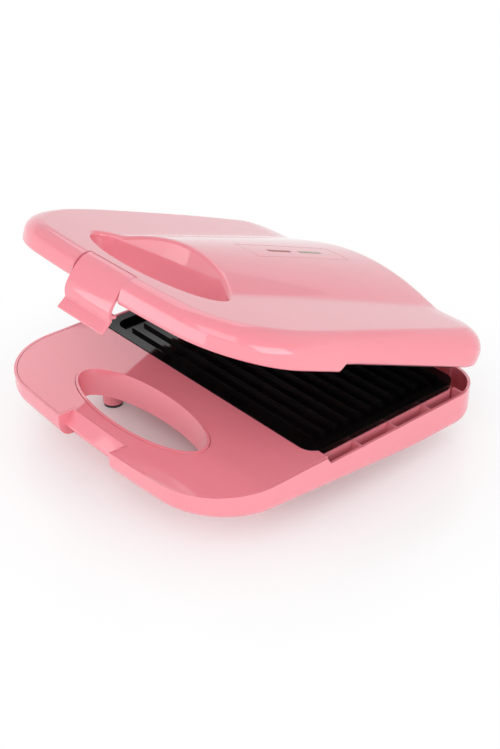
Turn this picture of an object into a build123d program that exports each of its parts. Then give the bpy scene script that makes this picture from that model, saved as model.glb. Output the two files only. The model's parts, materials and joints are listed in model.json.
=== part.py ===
from build123d import *
import math
import os

# Sandwich maker with a hinged lid, in millimetres. The front with the handle faces -Y, the hinge is at +Y,
# Z is up from the table and X = 0 is the middle. The lid is built closed and then opened to its rest angle,
# with Y = 0 in the middle of the base, and everything is moved back to its place over the origin at the end.

# Plan outline of the base, which the lid follows
body_width = 240.0
body_depth = 237.0
front_bow = 8.1
front_corner_radius = 52.0
rear_corner_radius = 28.0
body_front = -body_depth / 2
body_rear = body_depth / 2

# The finished part stands with its middle from front to back, lid open, over the origin
lid_overhang = 3.4
rest_middle_y = lid_overhang

# Housing walls and seams
wall = 1.9
seam_gap = 0.3
rim_height = 44.5
rim_step = 4.8
rim_step_run = 3.2
closed_gap = 0.4

# Underside of the base, which rises towards the handle
floor_height = 14.0
handle_underside_height = 27.3
slope_start_y = body_rear - 68.5
slope_end_y = body_front + 3.5
bottom_edge_radius = 9.5
knee_radius = 300.0

# Grill plates, which mirror each other about the parting height
parting_height = 44.8
plate_gap = 1.2
plate_side_margin = 10.0
plate_rear_margin = 19.0
plate_front_margin = 85.0
plate_width = body_width - 2 * plate_side_margin
plate_depth = body_depth - plate_rear_margin - plate_front_margin
plate_front = body_front + plate_front_margin
plate_rear = body_rear - plate_rear_margin
plate_centre_y = (plate_front + plate_rear) / 2
plate_corner_radius = 11.0
plate_edge_height = 3.9
plate_thickness = 2.0
flange_width = 7.0
tray_depth = 4.4
tray_corner_radius = 8.0
ridge_count = 11
ridge_pitch = (plate_depth - 28) / (ridge_count - 1)
ridge_length = plate_width - 33
ridge_width = 2.6
ridge_height = 2.4
ridge_first_y = plate_front + 15.5
plate_boss_radius = 4.2
plate_boss_x = plate_width / 2 - 40
plate_boss_y = [plate_front + 28.5, plate_rear - 24.5]

# Grip hole through the handle
grip_length = 124.0
base_grip_width = 44.0
lid_grip_length = 128.0
lid_grip_width = 47.0
grip_front_margin = 14.9
grip_rear_y = body_front + grip_front_margin + base_grip_width
grip_wall = 2.0
grip_lip = 0.4

# Deck over the handle half of the base
deck_thickness = 2.2
deck_rear_y = plate_front + 5.3
deck_screw_places = [(body_width / 2 - 34, grip_rear_y - 12.4), (grip_length / 3, grip_rear_y + 11.6)]
deck_post_top = 30.0
deck_screw_seat = 26.5
rim_step_front_y = plate_front + 3.4

# Well wall that carries the lower plate, and the ribs beside it
well_gap = 0.4
well_wall = 1.8
well_clearance = 0.2
rib_thickness = 1.6
rib_count = 4
rib_first_y = plate_front + 34.1
rib_pitch = (plate_rear - 4.1 - rib_first_y) / (rib_count - 1)

# Heaters, their clamps and the heat shields
heater_radius = 3.25
heater_bend_radius = 22.0
heater_centre_y = plate_centre_y + 1
heater_open_x = 24 - plate_width / 2
heater_bend_x = plate_width / 2 - 52
terminal_radius = 1.6
terminal_length = 9.0
contact_gap = 0.05
clamp_x = 40.0
clamp_overhang = 8.0
clamp_length = 2 * (heater_bend_radius + clamp_overhang)
clamp_width = 12.0
clamp_thickness = 1.0
shield_thickness = 0.8
shield_clearance = 1.0
shield_rim_height = 8.0
plate_boss_length = 10.0

# Screws
screw_radius = 1.5
screw_hole_gap = 0.1
thread_gap = 0.04
screw_head_radius = 3.0
screw_head_height = 1.9
screw_slot_width = 0.8
head_recess_gap = 0.4
post_radius = 5.0
post_seat_height = 22.5

# Feet
foot_radius = 7.5
foot_x = body_width / 2 - 45
foot_y = [plate_front - 17.5, body_rear - 26.5]
pad_radius = 6.8
pad_height = 2.4

# Rear hinge
hinge_y = body_rear
hinge_z = rim_height
open_angle = 22.5
knuckle_radius = 4.3
knuckle_low_x = body_width / 2 - 48
knuckle_width = 12.0
ear_width = 5.5
ear_gap = 0.4
ear_depth = 3.3
ear_height = 9.0
hinge_pin_radius = 1.75
running_clearance = 0.05
pin_seat_clearance = 0.03

# Lid
lid_bulge = 3.0
lid_extra_bow = 1.5
lid_top_height = 69.3
lid_top_slope = 0.054
lid_lower_radius = 4.0
lid_upper_radius = 10.0
lid_step_front_y = plate_front - 3
lid_step_run = 4.4
lid_step = 4.6
dome_front_y = grip_rear_y - 24.4
dome_front_half = body_width / 4.6
dome_rear_half = body_width / 3.6
dome_front_crest = lid_top_height + 7.6
dome_rear_crest = lid_top_height + 15.5
dome_rear_radius = 7.0
dome_skin = 2.2

# Frame inside the lid
frame_front_thickness = 2.0
frame_lift = 0.7
frame_wall = 1.8
frame_flange_thickness = 2.0
frame_rear_margin = 4.6
frame_boss_radius = 5.0
frame_boss_height = 5.0
frame_screw_seat = 2.3
frame_front_screw = (body_width / 2 - 34, grip_rear_y - 12.4)
frame_rear_screw = (45.0, body_rear - 11)
frame_screw_length = 14.0

# Indicator panel, lenses and lamps on the dome
panel_half_width = 11.5
panel_front_y = plate_front + 18.5
panel_rear_y = plate_rear - 25.5
panel_thickness = 1.2
panel_gap = 0.15
lens_width = 3.8
power_lens_length = 21.0
power_lens_y = panel_front_y + 32
ready_lens_length = 21.0
ready_lens_y = panel_front_y + 61.5
lens_depth = 5.4
lens_gap = 0.12
lamp_radius = 2.6
lamp_length = 13.0
holder_half_width = 8.0
holder_thickness = 1.2
holder_height = lid_top_height - 0.8
holder_clip_length = 6.0
holder_clip_thickness = 1.0
holder_screw_y = [(power_lens_y + ready_lens_y) / 2, ready_lens_y + 17.5]
holder_boss_radius = 3.2
holder_screw_length = 7.0

# Latch at the front
latch_half_width = 22.6
latch_thickness = 2.4
latch_reach = 15.2
latch_drop = 25.5
latch_pivot_y = body_front + 0.2
latch_pivot_z = 57.0
latch_barrel_radius = 3.0
latch_pin_radius = 1.5
latch_pin_overhang = 4.6
latch_hook_reach = latch_pivot_y - 8.7
latch_hook_top = latch_pivot_z - 19.8
latch_hook_thickness = 1.6
lid_notch_half_width = latch_half_width + 0.9
lid_notch_seam_y = latch_pivot_y - 1.8
lid_notch_depth_y = latch_pivot_y + 3.7
notch_wall = 1.5
base_notch_half_width = latch_half_width + 4.6
ledge_top_y = latch_pivot_y + 3.9
ledge_front_y = latch_pivot_y - 3.3
ledge_top_height = latch_hook_top + 0.2
ledge_underside = latch_hook_top - 1.4
notch_back_y = latch_pivot_y + 2.8

# Electrical pieces in the base
thermostat_radius = 8.5
thermostat_height = 8.0
thermostat_ear_x = 12.0
thermostat_ear_radius = 4.0
thermostat_ear_thickness = 1.0
thermostat_boss_length = 2.0
fuse_radius = 2.2
fuse_length = 14.0
fuse_lead_length = 4.0
fuse_lead_radius = 0.5
fuse_centre = (-18.0, heater_centre_y + heater_bend_radius + 14)
fuse_clip_width = 6.0
fuse_clip_thickness = 0.8
fuse_clip_tail = 4.0
block_width = 26.0
block_depth = 10.0
block_height = 14.0
block_bore_radius = 1.6
block_bore_depth = 9.0
block_screw_radius = 1.9
block_screw_length = 3.2
block_x = -28.0
wire_radius = 1.1
wire_pitch = 6.0
wire_gap = 0.4
lamp_wire_radius = 0.8
wire_bend = 2.4
wire_tight_bend = 1.6
lead_bend = 1.25
sleeve_radius = 2.2
sleeve_bend = 3.4
sleeve_base_x = -8.0
sleeve_meeting_x = -2.0
sleeve_lid_x = 4.0
sleeve_rise_y = body_rear - 9
lid_wire_hole = (13 - plate_width / 2, plate_rear - 21.5)
lid_wire_hole_radius = 3.6
gland_x = block_x
gland_z = 25.5
gland_radius = 5.0
gland_depth = 4.0
gland_flange_radius = 7.0
gland_flange_thickness = 2.0
gland_bore_radius = 3.4
gland_gap = 0.1

# Heights that follow from the sizes above
plate_top = parting_height - plate_gap / 2
plate_edge_bottom = plate_top - plate_edge_height
tray_floor = plate_top - tray_depth
tray_underside = tray_floor - plate_thickness
shield_top = tray_underside - plate_boss_length
shield_bottom = shield_top - shield_thickness
well_top = plate_edge_bottom - well_clearance
low_rim = rim_height - rim_step
lid_rim = rim_height + closed_gap
frame_bottom = lid_rim + frame_lift
lid_low_rim = lid_rim + lid_step
heater_height = tray_underside - heater_radius - contact_gap
clamp_top = heater_height - heater_radius - contact_gap
hinge_line = Axis((0, hinge_y, hinge_z), (-1, 0, 0))
SIDES = (-1, 1)


# Simple shapes

def upright(radius, low, high, x=0.0, y=0.0):
    """A cylinder along Z."""
    base = (Align.CENTER, Align.CENTER, Align.MIN)
    return Pos(x, y, low) * Cylinder(radius, high - low, align=base)


def crosswise(radius, low_x, high_x, y, z):
    """A cylinder along X."""
    base = (Align.CENTER, Align.CENTER, Align.MIN)
    return Pos(low_x, y, z) * Rot(0, 90, 0) * Cylinder(radius, high_x - low_x, align=base)


def lengthwise(radius, low_y, high_y, x, z):
    """A cylinder along Y."""
    base = (Align.CENTER, Align.CENTER, Align.MIN)
    return Pos(x, low_y, z) * Rot(-90, 0, 0) * Cylinder(radius, high_y - low_y, align=base)


def block(low, high):
    """A box from its lowest to its highest corner."""
    corner = (Align.MIN, Align.MIN, Align.MIN)
    size = [top - bottom for bottom, top in zip(low, high)]
    return Pos(*low) * Box(*size, align=corner)


def side_prism(points, half_width):
    """A prism across the width from a side view of Y and Z pairs."""
    return extrude(side_face(points), amount=half_width, both=True)


def side_face(points):
    """A face in the side view through Y and Z pairs."""
    return Plane.YZ * make_face(Polyline(*points, close=True))


def mirrored(shape):
    """The shape and its mirror image across the middle."""
    return shape + mirror(shape, about=Plane.YZ)


def open_lid(shape):
    """Turn a piece of the closed lid to its rest angle."""
    return shape.rotate(hinge_line, open_angle)


def to_lid(shape):
    """Flip a piece of the lower grill so that it serves the upper one."""
    return mirror(shape, about=Plane.XY.offset(parting_height))


# Outlines

def plan(grow=0.0, extra_bow=0.0):
    """The outline of the housing seen from above, grown evenly."""
    half = body_width / 2
    sides = Polyline((-half, body_front), (-half, body_rear), (half, body_rear), (half, body_front))
    middle = (0, body_front - front_bow - extra_bow)
    bow = ThreePointArc((half, body_front), middle, (-half, body_front))
    face = make_face(sides + bow)
    face = fillet(face.vertices().sort_by(Axis.Y)[:2], front_corner_radius)
    face = fillet(face.vertices().sort_by(Axis.Y)[-2:], rear_corner_radius)
    return offset(face, amount=grow) if grow else face


def plate_outline(grow=0.0, radius=plate_corner_radius):
    """The outline of a grill plate, grown evenly."""
    width = plate_width + 2 * grow
    depth = plate_depth + 2 * grow
    return Pos(0, plate_centre_y) * RectangleRounded(width, depth, radius + grow)


def grip_outline(length, width, grow=0.0):
    """The oval of a grip hole, grown evenly."""
    return Pos(0, grip_rear_y - width / 2) * Ellipse(length / 2 + grow, width / 2 + grow)


def lifted(sketch, low, high):
    """A flat outline raised into a solid between two heights."""
    return Pos(0, 0, low) * extrude(sketch, amount=high - low)


def base_notch_points():
    """Side view of the air in front of the base's latch ledge."""
    out_y = body_front - 40
    return [
        (out_y, rim_height + 20),
        (ledge_top_y, rim_height + 20),
        (ledge_top_y, rim_height),
        (ledge_front_y, ledge_top_height),
        (ledge_front_y, ledge_underside),
        (notch_back_y, ledge_underside),
        (notch_back_y, 0),
        (out_y, 0),
    ]


def lid_notch_points():
    """Side view of the air that the latch moves in."""
    out_y = body_front - 40
    barrel_ceiling = latch_pivot_z + latch_barrel_radius + seam_gap
    return [
        (out_y, lid_top_height + 20),
        (lid_notch_seam_y, lid_top_height + 20),
        (lid_notch_seam_y, barrel_ceiling),
        (lid_notch_depth_y, barrel_ceiling),
        (lid_notch_depth_y, 0),
        (out_y, 0),
    ]


# Screws

def screw(x, y, seat, tip, head_up=False):
    """A screw whose head bears on the seat height and whose shank ends at the tip height."""
    low, high = sorted((seat, tip))
    shank = upright(screw_radius, low, high, x, y)
    if head_up:
        head = upright(screw_head_radius, seat, seat + screw_head_height, x, y)
    else:
        head = upright(screw_head_radius, seat - screw_head_height, seat, x, y)
    half_slot = screw_slot_width / 2
    slot = block(
        (x - screw_head_radius, y - half_slot, head.bounding_box().min.Z),
        (x + screw_head_radius, y + half_slot, head.bounding_box().min.Z + screw_slot_width),
    )
    if head_up:
        slot = Pos(0, 0, screw_head_height - screw_slot_width) * slot
    return head + shank - slot


def screw_hole(x, y, low, high):
    """The hole that a screw's shank passes through."""
    return upright(screw_radius + screw_hole_gap, low, high, x, y)


def thread_hole(x, y, low, high):
    """The hole that a screw's thread bites into."""
    return upright(screw_radius + thread_gap, low, high, x, y)


def head_recess(x, y, low, high):
    """The recess that a screw's head lies in."""
    return upright(screw_head_radius + head_recess_gap, low, high, x, y)


def plate_boss_places():
    """The four places where a grill plate is screwed down."""
    return [(side * plate_boss_x, y) for side in SIDES for y in plate_boss_y]


def deck_screw_points():
    """The four places where the deck is screwed down."""
    return [(side * x, y) for side in SIDES for x, y in deck_screw_places]


# Base

def housing_block(grow, lift, radius, top):
    """The base's outer form, or its hollow, with a rounded lower edge."""
    rise = (handle_underside_height - floor_height) / (slope_end_y - slope_start_y)
    far = body_depth
    front_height = floor_height + lift + rise * (-far - slope_start_y)
    side = make_face(Polyline(
        (far, floor_height + lift),
        (slope_start_y, floor_height + lift),
        (-far, front_height),
        (-far, rim_height * 2),
        (far, rim_height * 2),
        close=True,
    ))
    knee = side.vertices().sort_by(lambda corner: abs(corner.X - slope_start_y) + abs(corner.Y))[0]
    side = Plane.YZ * fillet(knee, knee_radius)
    body = lifted(plan(grow), 0, top) & extrude(side, amount=body_width, both=True)
    return fillet(lower_edges(body), radius)


def lower_edges(body):
    """The edges where the underside meets the upright walls."""
    found = []
    for edge in body.edges():
        box = edge.bounding_box()
        across = box.size.X > body_width / 2 and abs(edge.center().Y) < body_depth * 0.4
        if box.max.Z < rim_height * 0.9 and not across:
            found.append(edge)
    return found


def rib_places():
    return [rib_first_y + index * rib_pitch for index in range(rib_count)]


def well_walls(outer):
    """The wall around the grill plate and the ribs beside it."""
    ring = plate_outline(well_gap) - plate_outline(well_gap - well_wall)
    walls = lifted(ring, 0, well_top)
    rib_inner = plate_width / 2 + well_gap - well_wall / 2
    for side in SIDES:
        for y in rib_places():
            low_x, high_x = sorted((side * rib_inner, side * body_width / 2))
            walls += block((low_x, y - rib_thickness / 2, 0), (high_x, y + rib_thickness / 2, low_rim))
    walls -= wire_slot(well_top - 6)
    return walls & outer


def wire_slot(low):
    """The gap at the rear that the base's leads pass through on their way to the heater."""
    half = block_width / 2 - 3
    return block((block_x - half, plate_centre_y, low), (block_x + half, body_rear, rim_height))


def base_posts(outer):
    """The posts that the screws pull on, and the foot stubs."""
    posts = Part()
    for x, y in plate_boss_places():
        posts += upright(post_radius, 0, shield_bottom, x, y)
    for x, y in deck_screw_points():
        posts += upright(post_radius, 0, deck_post_top, x, y)
    return posts & outer


def foot_stubs():
    stubs = Part()
    for side in SIDES:
        for y in foot_y:
            top = underside_height(y) + wall
            stubs += upright(foot_radius, pad_height, top, side * foot_x, y)
    return stubs


def underside_height(y):
    """Height of the base's underside at a place from front to back."""
    run = min(max(slope_start_y - y, 0), slope_start_y - slope_end_y)
    rise = handle_underside_height - floor_height
    return floor_height + rise * run / (slope_start_y - slope_end_y)


def hinge_ears():
    """The four upright ears on the rear wall that hold the hinge pins."""
    ears = Part()
    inner_low = knuckle_low_x - ear_gap - ear_width
    outer_low = knuckle_low_x + knuckle_width + ear_gap
    for low_x in (inner_low, outer_low):
        ear = crosswise(knuckle_radius, low_x, low_x + ear_width, hinge_y, hinge_z)
        arm_low = low_rim - ear_height
        arm_front = body_rear - wall - 1
        ear += block((low_x, arm_front, arm_low), (low_x + ear_width, hinge_y + ear_depth, hinge_z))
        ears += ear
    return mirrored(ears)


def hinge_pin_hole(clearance):
    """The bores of both hinges on one axis."""
    low_x = knuckle_low_x - ear_gap - ear_width - 1
    high_x = knuckle_low_x + knuckle_width + ear_gap + ear_width + 1
    return mirrored(crosswise(hinge_pin_radius + clearance, low_x, high_x, hinge_y, hinge_z))


def make_base_shell():
    outer = housing_block(0, 0, bottom_edge_radius, rim_height)
    hollow = housing_block(-wall, wall, bottom_edge_radius - wall, rim_height + 5)
    raised = housing_block(0, 0, bottom_edge_radius, rim_height + grip_lip)
    grip = grip_outline(grip_length, base_grip_width)
    tube = lifted(grip_outline(grip_length, base_grip_width, grip_wall), 0, rim_height + grip_lip) & raised
    notch = side_prism(base_notch_points(), base_notch_half_width)
    notch_skin = offset(make_face(Polyline(*base_notch_points(), close=True)), amount=notch_wall)
    notch_skin = extrude(Plane.YZ * notch_skin, amount=base_notch_half_width + notch_wall, both=True) & outer
    shell = outer - hollow + well_walls(outer) + base_posts(outer) + foot_stubs()
    step_front = rim_step_front_y
    step_rear = step_front + rim_step_run
    shell -= side_prism(
        [
            (step_front, rim_height),
            (step_rear, low_rim),
            (body_depth, low_rim),
            (body_depth, rim_height + 10),
            (step_front, rim_height + 10),
        ],
        body_width,
    )
    shell = shell + tube + notch_skin + hinge_ears() - notch
    shell -= lifted(grip, 0, rim_height + 10)
    shell -= hinge_pin_hole(pin_seat_clearance)
    shell -= lengthwise(gland_radius + gland_gap, body_rear - 5, body_rear + 5, gland_x, gland_z)
    for x, y in plate_boss_places():
        shell -= head_recess(x, y, 0, post_seat_height)
        shell -= screw_hole(x, y, 0, shield_bottom + 1)
    for x, y in deck_screw_points():
        shell -= head_recess(x, y, 0, deck_screw_seat)
        shell -= screw_hole(x, y, 0, deck_post_top + 1)
    return shell


def make_deck_cover():
    low = rim_height - deck_thickness
    outline = plan(-wall - seam_gap) - plate_outline(well_gap + seam_gap * 2)
    outline -= grip_outline(grip_length, base_grip_width, grip_wall + seam_gap)
    deck = lifted(outline, low, rim_height)
    deck &= block((-body_width, -body_depth, 0), (body_width, deck_rear_y, body_width))
    notch_skin = make_face(Polyline(*base_notch_points(), close=True))
    notch_skin = Plane.YZ * offset(notch_skin, amount=notch_wall + seam_gap)
    deck -= extrude(notch_skin, amount=base_notch_half_width + notch_wall + seam_gap, both=True)
    for x, y in deck_screw_points():
        deck += upright(post_radius, deck_post_top, low + 0.5, x, y)
        deck -= thread_hole(x, y, deck_post_top - 1, low)
    return deck


def make_deck_screws():
    return [screw(x, y, deck_screw_seat, rim_height - deck_thickness - 1) for x, y in deck_screw_points()]


def make_foot_pads():
    return [upright(pad_radius, 0, pad_height, side * foot_x, y) for side in SIDES for y in foot_y]


def make_hinge_pins():
    low_x = knuckle_low_x - ear_gap - ear_width
    high_x = knuckle_low_x + knuckle_width + ear_gap + ear_width
    pin = crosswise(hinge_pin_radius, low_x, high_x, hinge_y, hinge_z)
    return [pin, mirror(pin, about=Plane.YZ)]


def make_cord_gland():
    flange_face = body_rear + gland_flange_thickness
    gland = lengthwise(gland_radius, body_rear - wall - gland_depth, body_rear, gland_x, gland_z)
    gland += lengthwise(gland_flange_radius, body_rear, flange_face, gland_x, gland_z)
    return gland - lengthwise(gland_bore_radius, body_rear - 20, body_rear + 20, gland_x, gland_z)


# Grill plates and what is fixed to them

def make_grill_plate():
    """The lower plate, cooking side up. The upper one is its mirror image."""
    inner_width = plate_width - 2 * flange_width
    inner_depth = plate_depth - 2 * flange_width
    tray = Pos(0, plate_centre_y) * RectangleRounded(inner_width, inner_depth, tray_corner_radius)
    tray_shell = Pos(0, plate_centre_y) * RectangleRounded(
        inner_width + 2 * plate_thickness,
        inner_depth + 2 * plate_thickness,
        tray_corner_radius + plate_thickness,
    )
    plate = lifted(plate_outline(), plate_edge_bottom, plate_top)
    plate -= lifted(plate_outline(-plate_thickness), plate_edge_bottom - 1, plate_top - plate_thickness)
    plate += lifted(tray_shell, tray_underside, plate_top)
    plate -= lifted(tray, tray_floor, plate_top + 1)
    for index in range(ridge_count):
        y = ridge_first_y + index * ridge_pitch
        plate += Pos(0, y) * lifted(SlotOverall(ridge_length, ridge_width), tray_floor - 0.5, tray_floor + ridge_height)
    for x, y in plate_boss_places():
        plate += upright(plate_boss_radius, shield_top, tray_floor - 0.5, x, y)
        plate -= thread_hole(x, y, shield_top - 1, tray_underside)
    for x in clamp_places():
        plate += upright(plate_boss_radius, clamp_top, tray_floor - 0.5, x, heater_centre_y)
        plate -= thread_hole(x, heater_centre_y, clamp_top - 1, tray_underside)
    return plate


def clamp_places():
    return [side * clamp_x for side in SIDES]


def add_thermostat_bosses(plate):
    """The lower plate with two low bosses for the thermostat's ears."""
    low = tray_underside - thermostat_boss_length
    for side in SIDES:
        x = side * thermostat_ear_x
        plate += upright(thermostat_ear_radius - 1, low, tray_floor - 0.5, x, heater_centre_y)
        plate -= thread_hole(x, heater_centre_y, low - 1, tray_floor - 1)
    return plate


def make_heater():
    """A U of steel tube with a terminal pin at each end."""
    legs = Part()
    for side in SIDES:
        y = heater_centre_y + side * heater_bend_radius
        legs += crosswise(heater_radius, heater_open_x, heater_bend_x, y, heater_height)
        pin_start = heater_open_x - terminal_length
        legs += crosswise(terminal_radius, pin_start, heater_open_x, y, heater_height)
    circle = Plane.YZ.offset(heater_bend_x) * Pos(heater_centre_y - heater_bend_radius, heater_height)
    section = circle * Circle(heater_radius)
    turn_axis = Axis((heater_bend_x, heater_centre_y, heater_height), (0, 0, 1))
    return legs + revolve(section, turn_axis, 180)


def make_heater_clamps():
    """Two steel straps that hold the heater's legs against the plate."""
    clamps = []
    for x in clamp_places():
        low = (x - clamp_width / 2, heater_centre_y - clamp_length / 2, clamp_top - clamp_thickness)
        high = (x + clamp_width / 2, heater_centre_y + clamp_length / 2, clamp_top)
        strap = block(low, high)
        clamps.append(strap - screw_hole(x, heater_centre_y, low[2] - 1, clamp_top + 1))
    return clamps


def make_clamp_screws():
    seat = clamp_top - clamp_thickness
    return [screw(x, heater_centre_y, seat, tray_underside - 0.5) for x in clamp_places()]


def make_lower_shield():
    """A shallow steel pan on the base's posts, under the heater."""
    outline = plate_outline(well_gap - well_wall - shield_clearance)
    inside = plate_outline(well_gap - well_wall - shield_clearance - shield_thickness)
    shield = lifted(outline, shield_bottom, shield_bottom + shield_rim_height)
    shield -= lifted(inside, shield_top, shield_bottom + shield_rim_height + 1)
    shield -= wire_slot(shield_top)
    for x, y in plate_boss_places():
        shield -= screw_hole(x, y, shield_bottom - 1, shield_top + 1)
    return shield


def make_upper_shield():
    """A flat steel shield that lies on the lid frame's wall, shown here flipped for the lower side."""
    shield = lifted(plate_outline(well_gap), shield_bottom, shield_top)
    shield -= upright(lid_wire_hole_radius, shield_bottom - 1, shield_top + 1, *lid_wire_hole)
    for x, y in plate_boss_places():
        shield -= screw_hole(x, y, shield_bottom - 1, shield_top + 1)
    return shield


def make_lower_plate_screws():
    tip = tray_underside - 1.5
    return [screw(x, y, post_seat_height, tip) for x, y in plate_boss_places()]


def make_upper_plate_screws():
    tip = tray_underside - 1.5
    return [screw(x, y, shield_bottom, tip) for x, y in plate_boss_places()]


# Electrical pieces of the base

def make_thermostat():
    """A round bimetal switch held to the plate by two ears."""
    top = tray_underside - contact_gap
    body = upright(thermostat_radius, top - thermostat_height, top, 0, heater_centre_y)
    ear_top = tray_underside - thermostat_boss_length
    ear_low = ear_top - thermostat_ear_thickness
    for side in SIDES:
        x = side * thermostat_ear_x
        body += upright(thermostat_ear_radius, ear_low, ear_top, x, heater_centre_y)
        body -= screw_hole(x, heater_centre_y, ear_low - 1, ear_top + 1)
    return body


def make_thermostat_screws():
    seat = tray_underside - thermostat_boss_length - thermostat_ear_thickness
    places = [side * thermostat_ear_x for side in SIDES]
    return [screw(x, heater_centre_y, seat, tray_floor - 1.5) for x in places]


def fuse_height():
    return shield_top + fuse_clip_thickness + fuse_radius + contact_gap


def make_thermal_fuse():
    x, y = fuse_centre
    body = crosswise(fuse_radius, x - fuse_length / 2, x + fuse_length / 2, y, fuse_height())
    reach = fuse_length / 2 + fuse_lead_length
    return body + crosswise(fuse_lead_radius, x - reach, x + reach, y, fuse_height())


def make_fuse_clip():
    """A small strap that holds the fuse down on the shield."""
    x, y = fuse_centre
    reach = fuse_radius + contact_gap + fuse_clip_thickness
    half = fuse_clip_width / 2
    tail = y - reach - fuse_clip_tail
    clip = block((x - half, tail, shield_top), (x + half, y + reach, shield_top + fuse_clip_thickness))
    clip += crosswise(reach, x - half, x + half, y, fuse_height())
    clip -= crosswise(fuse_radius + contact_gap, x - half - 1, x + half + 1, y, fuse_height())
    return clip & block((x - half, tail, shield_top), (x + half, y + reach, rim_height))


def block_front_y():
    return plate_rear + well_gap + seam_gap * 2


def block_low():
    return floor_height + wall + seam_gap


def block_ways():
    """Places across the terminal block where a lead goes in."""
    return [block_x + way * wire_pitch for way in (-1, 0, 1)]


def make_terminal_block():
    """A three-way screw terminal block on the base's floor behind the well."""
    centre_y = block_front_y() + block_depth / 2
    top = block_low() + block_height
    low = (block_x - block_width / 2, block_front_y(), block_low())
    high = (block_x + block_width / 2, block_front_y() + block_depth, top)
    body = block(low, high)
    for x in block_ways():
        body -= upright(block_bore_radius, top - block_bore_depth, top + 1, x, centre_y)
        screw_z = top - block_bore_depth / 2
        body -= lengthwise(block_screw_radius + thread_gap, centre_y, high[1] + 1, x, screw_z)
    return body


def make_block_screws():
    """The grub screws that clamp the leads in the terminal block."""
    rear = block_front_y() + block_depth
    screw_z = block_low() + block_height - block_bore_depth / 2
    screws = []
    for x in block_ways():
        body = lengthwise(block_screw_radius, rear - block_screw_length, rear, x, screw_z)
        low = (x - block_screw_radius, rear - screw_slot_width, screw_z - screw_slot_width / 2)
        high = (x + block_screw_radius, rear, screw_z + screw_slot_width / 2)
        screws.append(body - block(low, high))
    return screws


# Lid shell

def top_height(y):
    """Height of the lid's flat top at a place from front to back."""
    return lid_top_height + lid_top_slope * y


def lid_block(inset):
    """The lid's outer form without the dome, or its hollow."""
    far = body_depth
    body = lifted(plan(lid_bulge - inset, lid_extra_bow), lid_rim + inset, lid_rim + 60)
    body &= side_prism(
        [
            (-far, top_height(-far) - inset),
            (far, top_height(far) - inset),
            (far, 0),
            (-far, 0),
        ],
        body_width,
    )
    lower = [edge for edge in body.edges() if edge.bounding_box().max.Z < lid_rim + inset + 0.1]
    body = fillet(lower, lid_lower_radius - inset)
    upper = [edge for edge in body.edges() if edge.bounding_box().min.Z > lid_rim + 12]
    return fillet(upper, lid_upper_radius - inset)


def dome_section(y, half, crest, shrink):
    """An upright face across the dome: an arc with a flat foot sunk into the lid."""
    foot = top_height(y) - 5
    edge = top_height(y) - shrink * 0.4
    arc = ThreePointArc((-half + shrink, edge), (0, crest - shrink), (half - shrink, edge))
    skirt = Polyline((-half + shrink, edge), (-half + shrink, foot), (half - shrink, foot), (half - shrink, edge))
    return Plane(origin=(0, y, 0), x_dir=(1, 0, 0), z_dir=(0, -1, 0)) * make_face(arc + skirt)


def dome(shrink):
    """The raised pillow behind the grip, from the grip to the rear edge."""
    rear_y = body_rear + lid_bulge - shrink
    front = dome_section(dome_front_y, dome_front_half, dome_front_crest, shrink)
    rear = dome_section(rear_y, dome_rear_half, dome_rear_crest, shrink)
    body = loft([front, rear], ruled=True)
    rear_edges = [
        edge for edge in body.edges()
        if edge.bounding_box().min.Y > rear_y - 0.1 and edge.bounding_box().size.Z > 2
        and edge.bounding_box().size.X > body_width / 3
    ]
    body = fillet(rear_edges, dome_rear_radius - shrink)
    return body & lifted(plan(lid_bulge - shrink, lid_extra_bow), lid_rim, rim_height * 3)


def panel_zone(gap):
    return block(
        (-panel_half_width - gap, panel_front_y - gap, lid_rim),
        (panel_half_width + gap, panel_rear_y + gap, rim_height * 3),
    )


def lens_zone(y, length, grow, low):
    """The upright slot that a lens stands in."""
    slot = SlotOverall(length + 2 * grow, lens_width + 2 * grow, rotation=90)
    return Pos(0, y) * lifted(slot, low, rim_height * 3)


def lens_places():
    return [(power_lens_y, power_lens_length), (ready_lens_y, ready_lens_length)]


def lens_low(y):
    """Height of a lens's lower end."""
    share = (y - dome_front_y) / (body_rear + lid_bulge - dome_front_y)
    crest = dome_front_crest + share * (dome_rear_crest - dome_front_crest)
    return crest - lens_depth


def lid_knuckles():
    """The two barrels that turn on the hinge pins."""
    high_x = knuckle_low_x + knuckle_width
    knuckle = crosswise(knuckle_radius, knuckle_low_x, high_x, hinge_y, hinge_z)
    arm_front = hinge_y - ear_depth
    arm_rear = body_rear + lid_bulge - 0.4
    knuckle += block((knuckle_low_x, arm_front, hinge_z), (high_x, arm_rear, lid_low_rim + 2))
    return mirrored(knuckle)


def lid_bosses(form):
    """Screw bosses under the lid's top: four for the frame and two for the lamp holder."""
    bosses = Part()
    high = rim_height * 3
    front_x, front_y = frame_front_screw
    rear_x, rear_y = frame_rear_screw
    for side in SIDES:
        front_low = frame_bottom + frame_boss_height
        bosses += upright(frame_boss_radius - 1, front_low, high, side * front_x, front_y)
        rear_low = lid_low_rim + frame_lift + frame_boss_height
        bosses += upright(frame_boss_radius - 1, rear_low, high, side * rear_x, rear_y)
    for y in holder_screw_y:
        bosses += upright(holder_boss_radius, holder_height + holder_thickness, high, 0, y)
    return bosses & form


def pin_pads(outer):
    """The thick places beside the latch that hold its pin."""
    pads = Part()
    for side in SIDES:
        low_x, high_x = sorted((side * lid_notch_half_width, side * (lid_notch_half_width + latch_pin_overhang)))
        pads += crosswise(latch_barrel_radius + 1, low_x, high_x, latch_pivot_y, latch_pivot_z)
    return pads & outer


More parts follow.
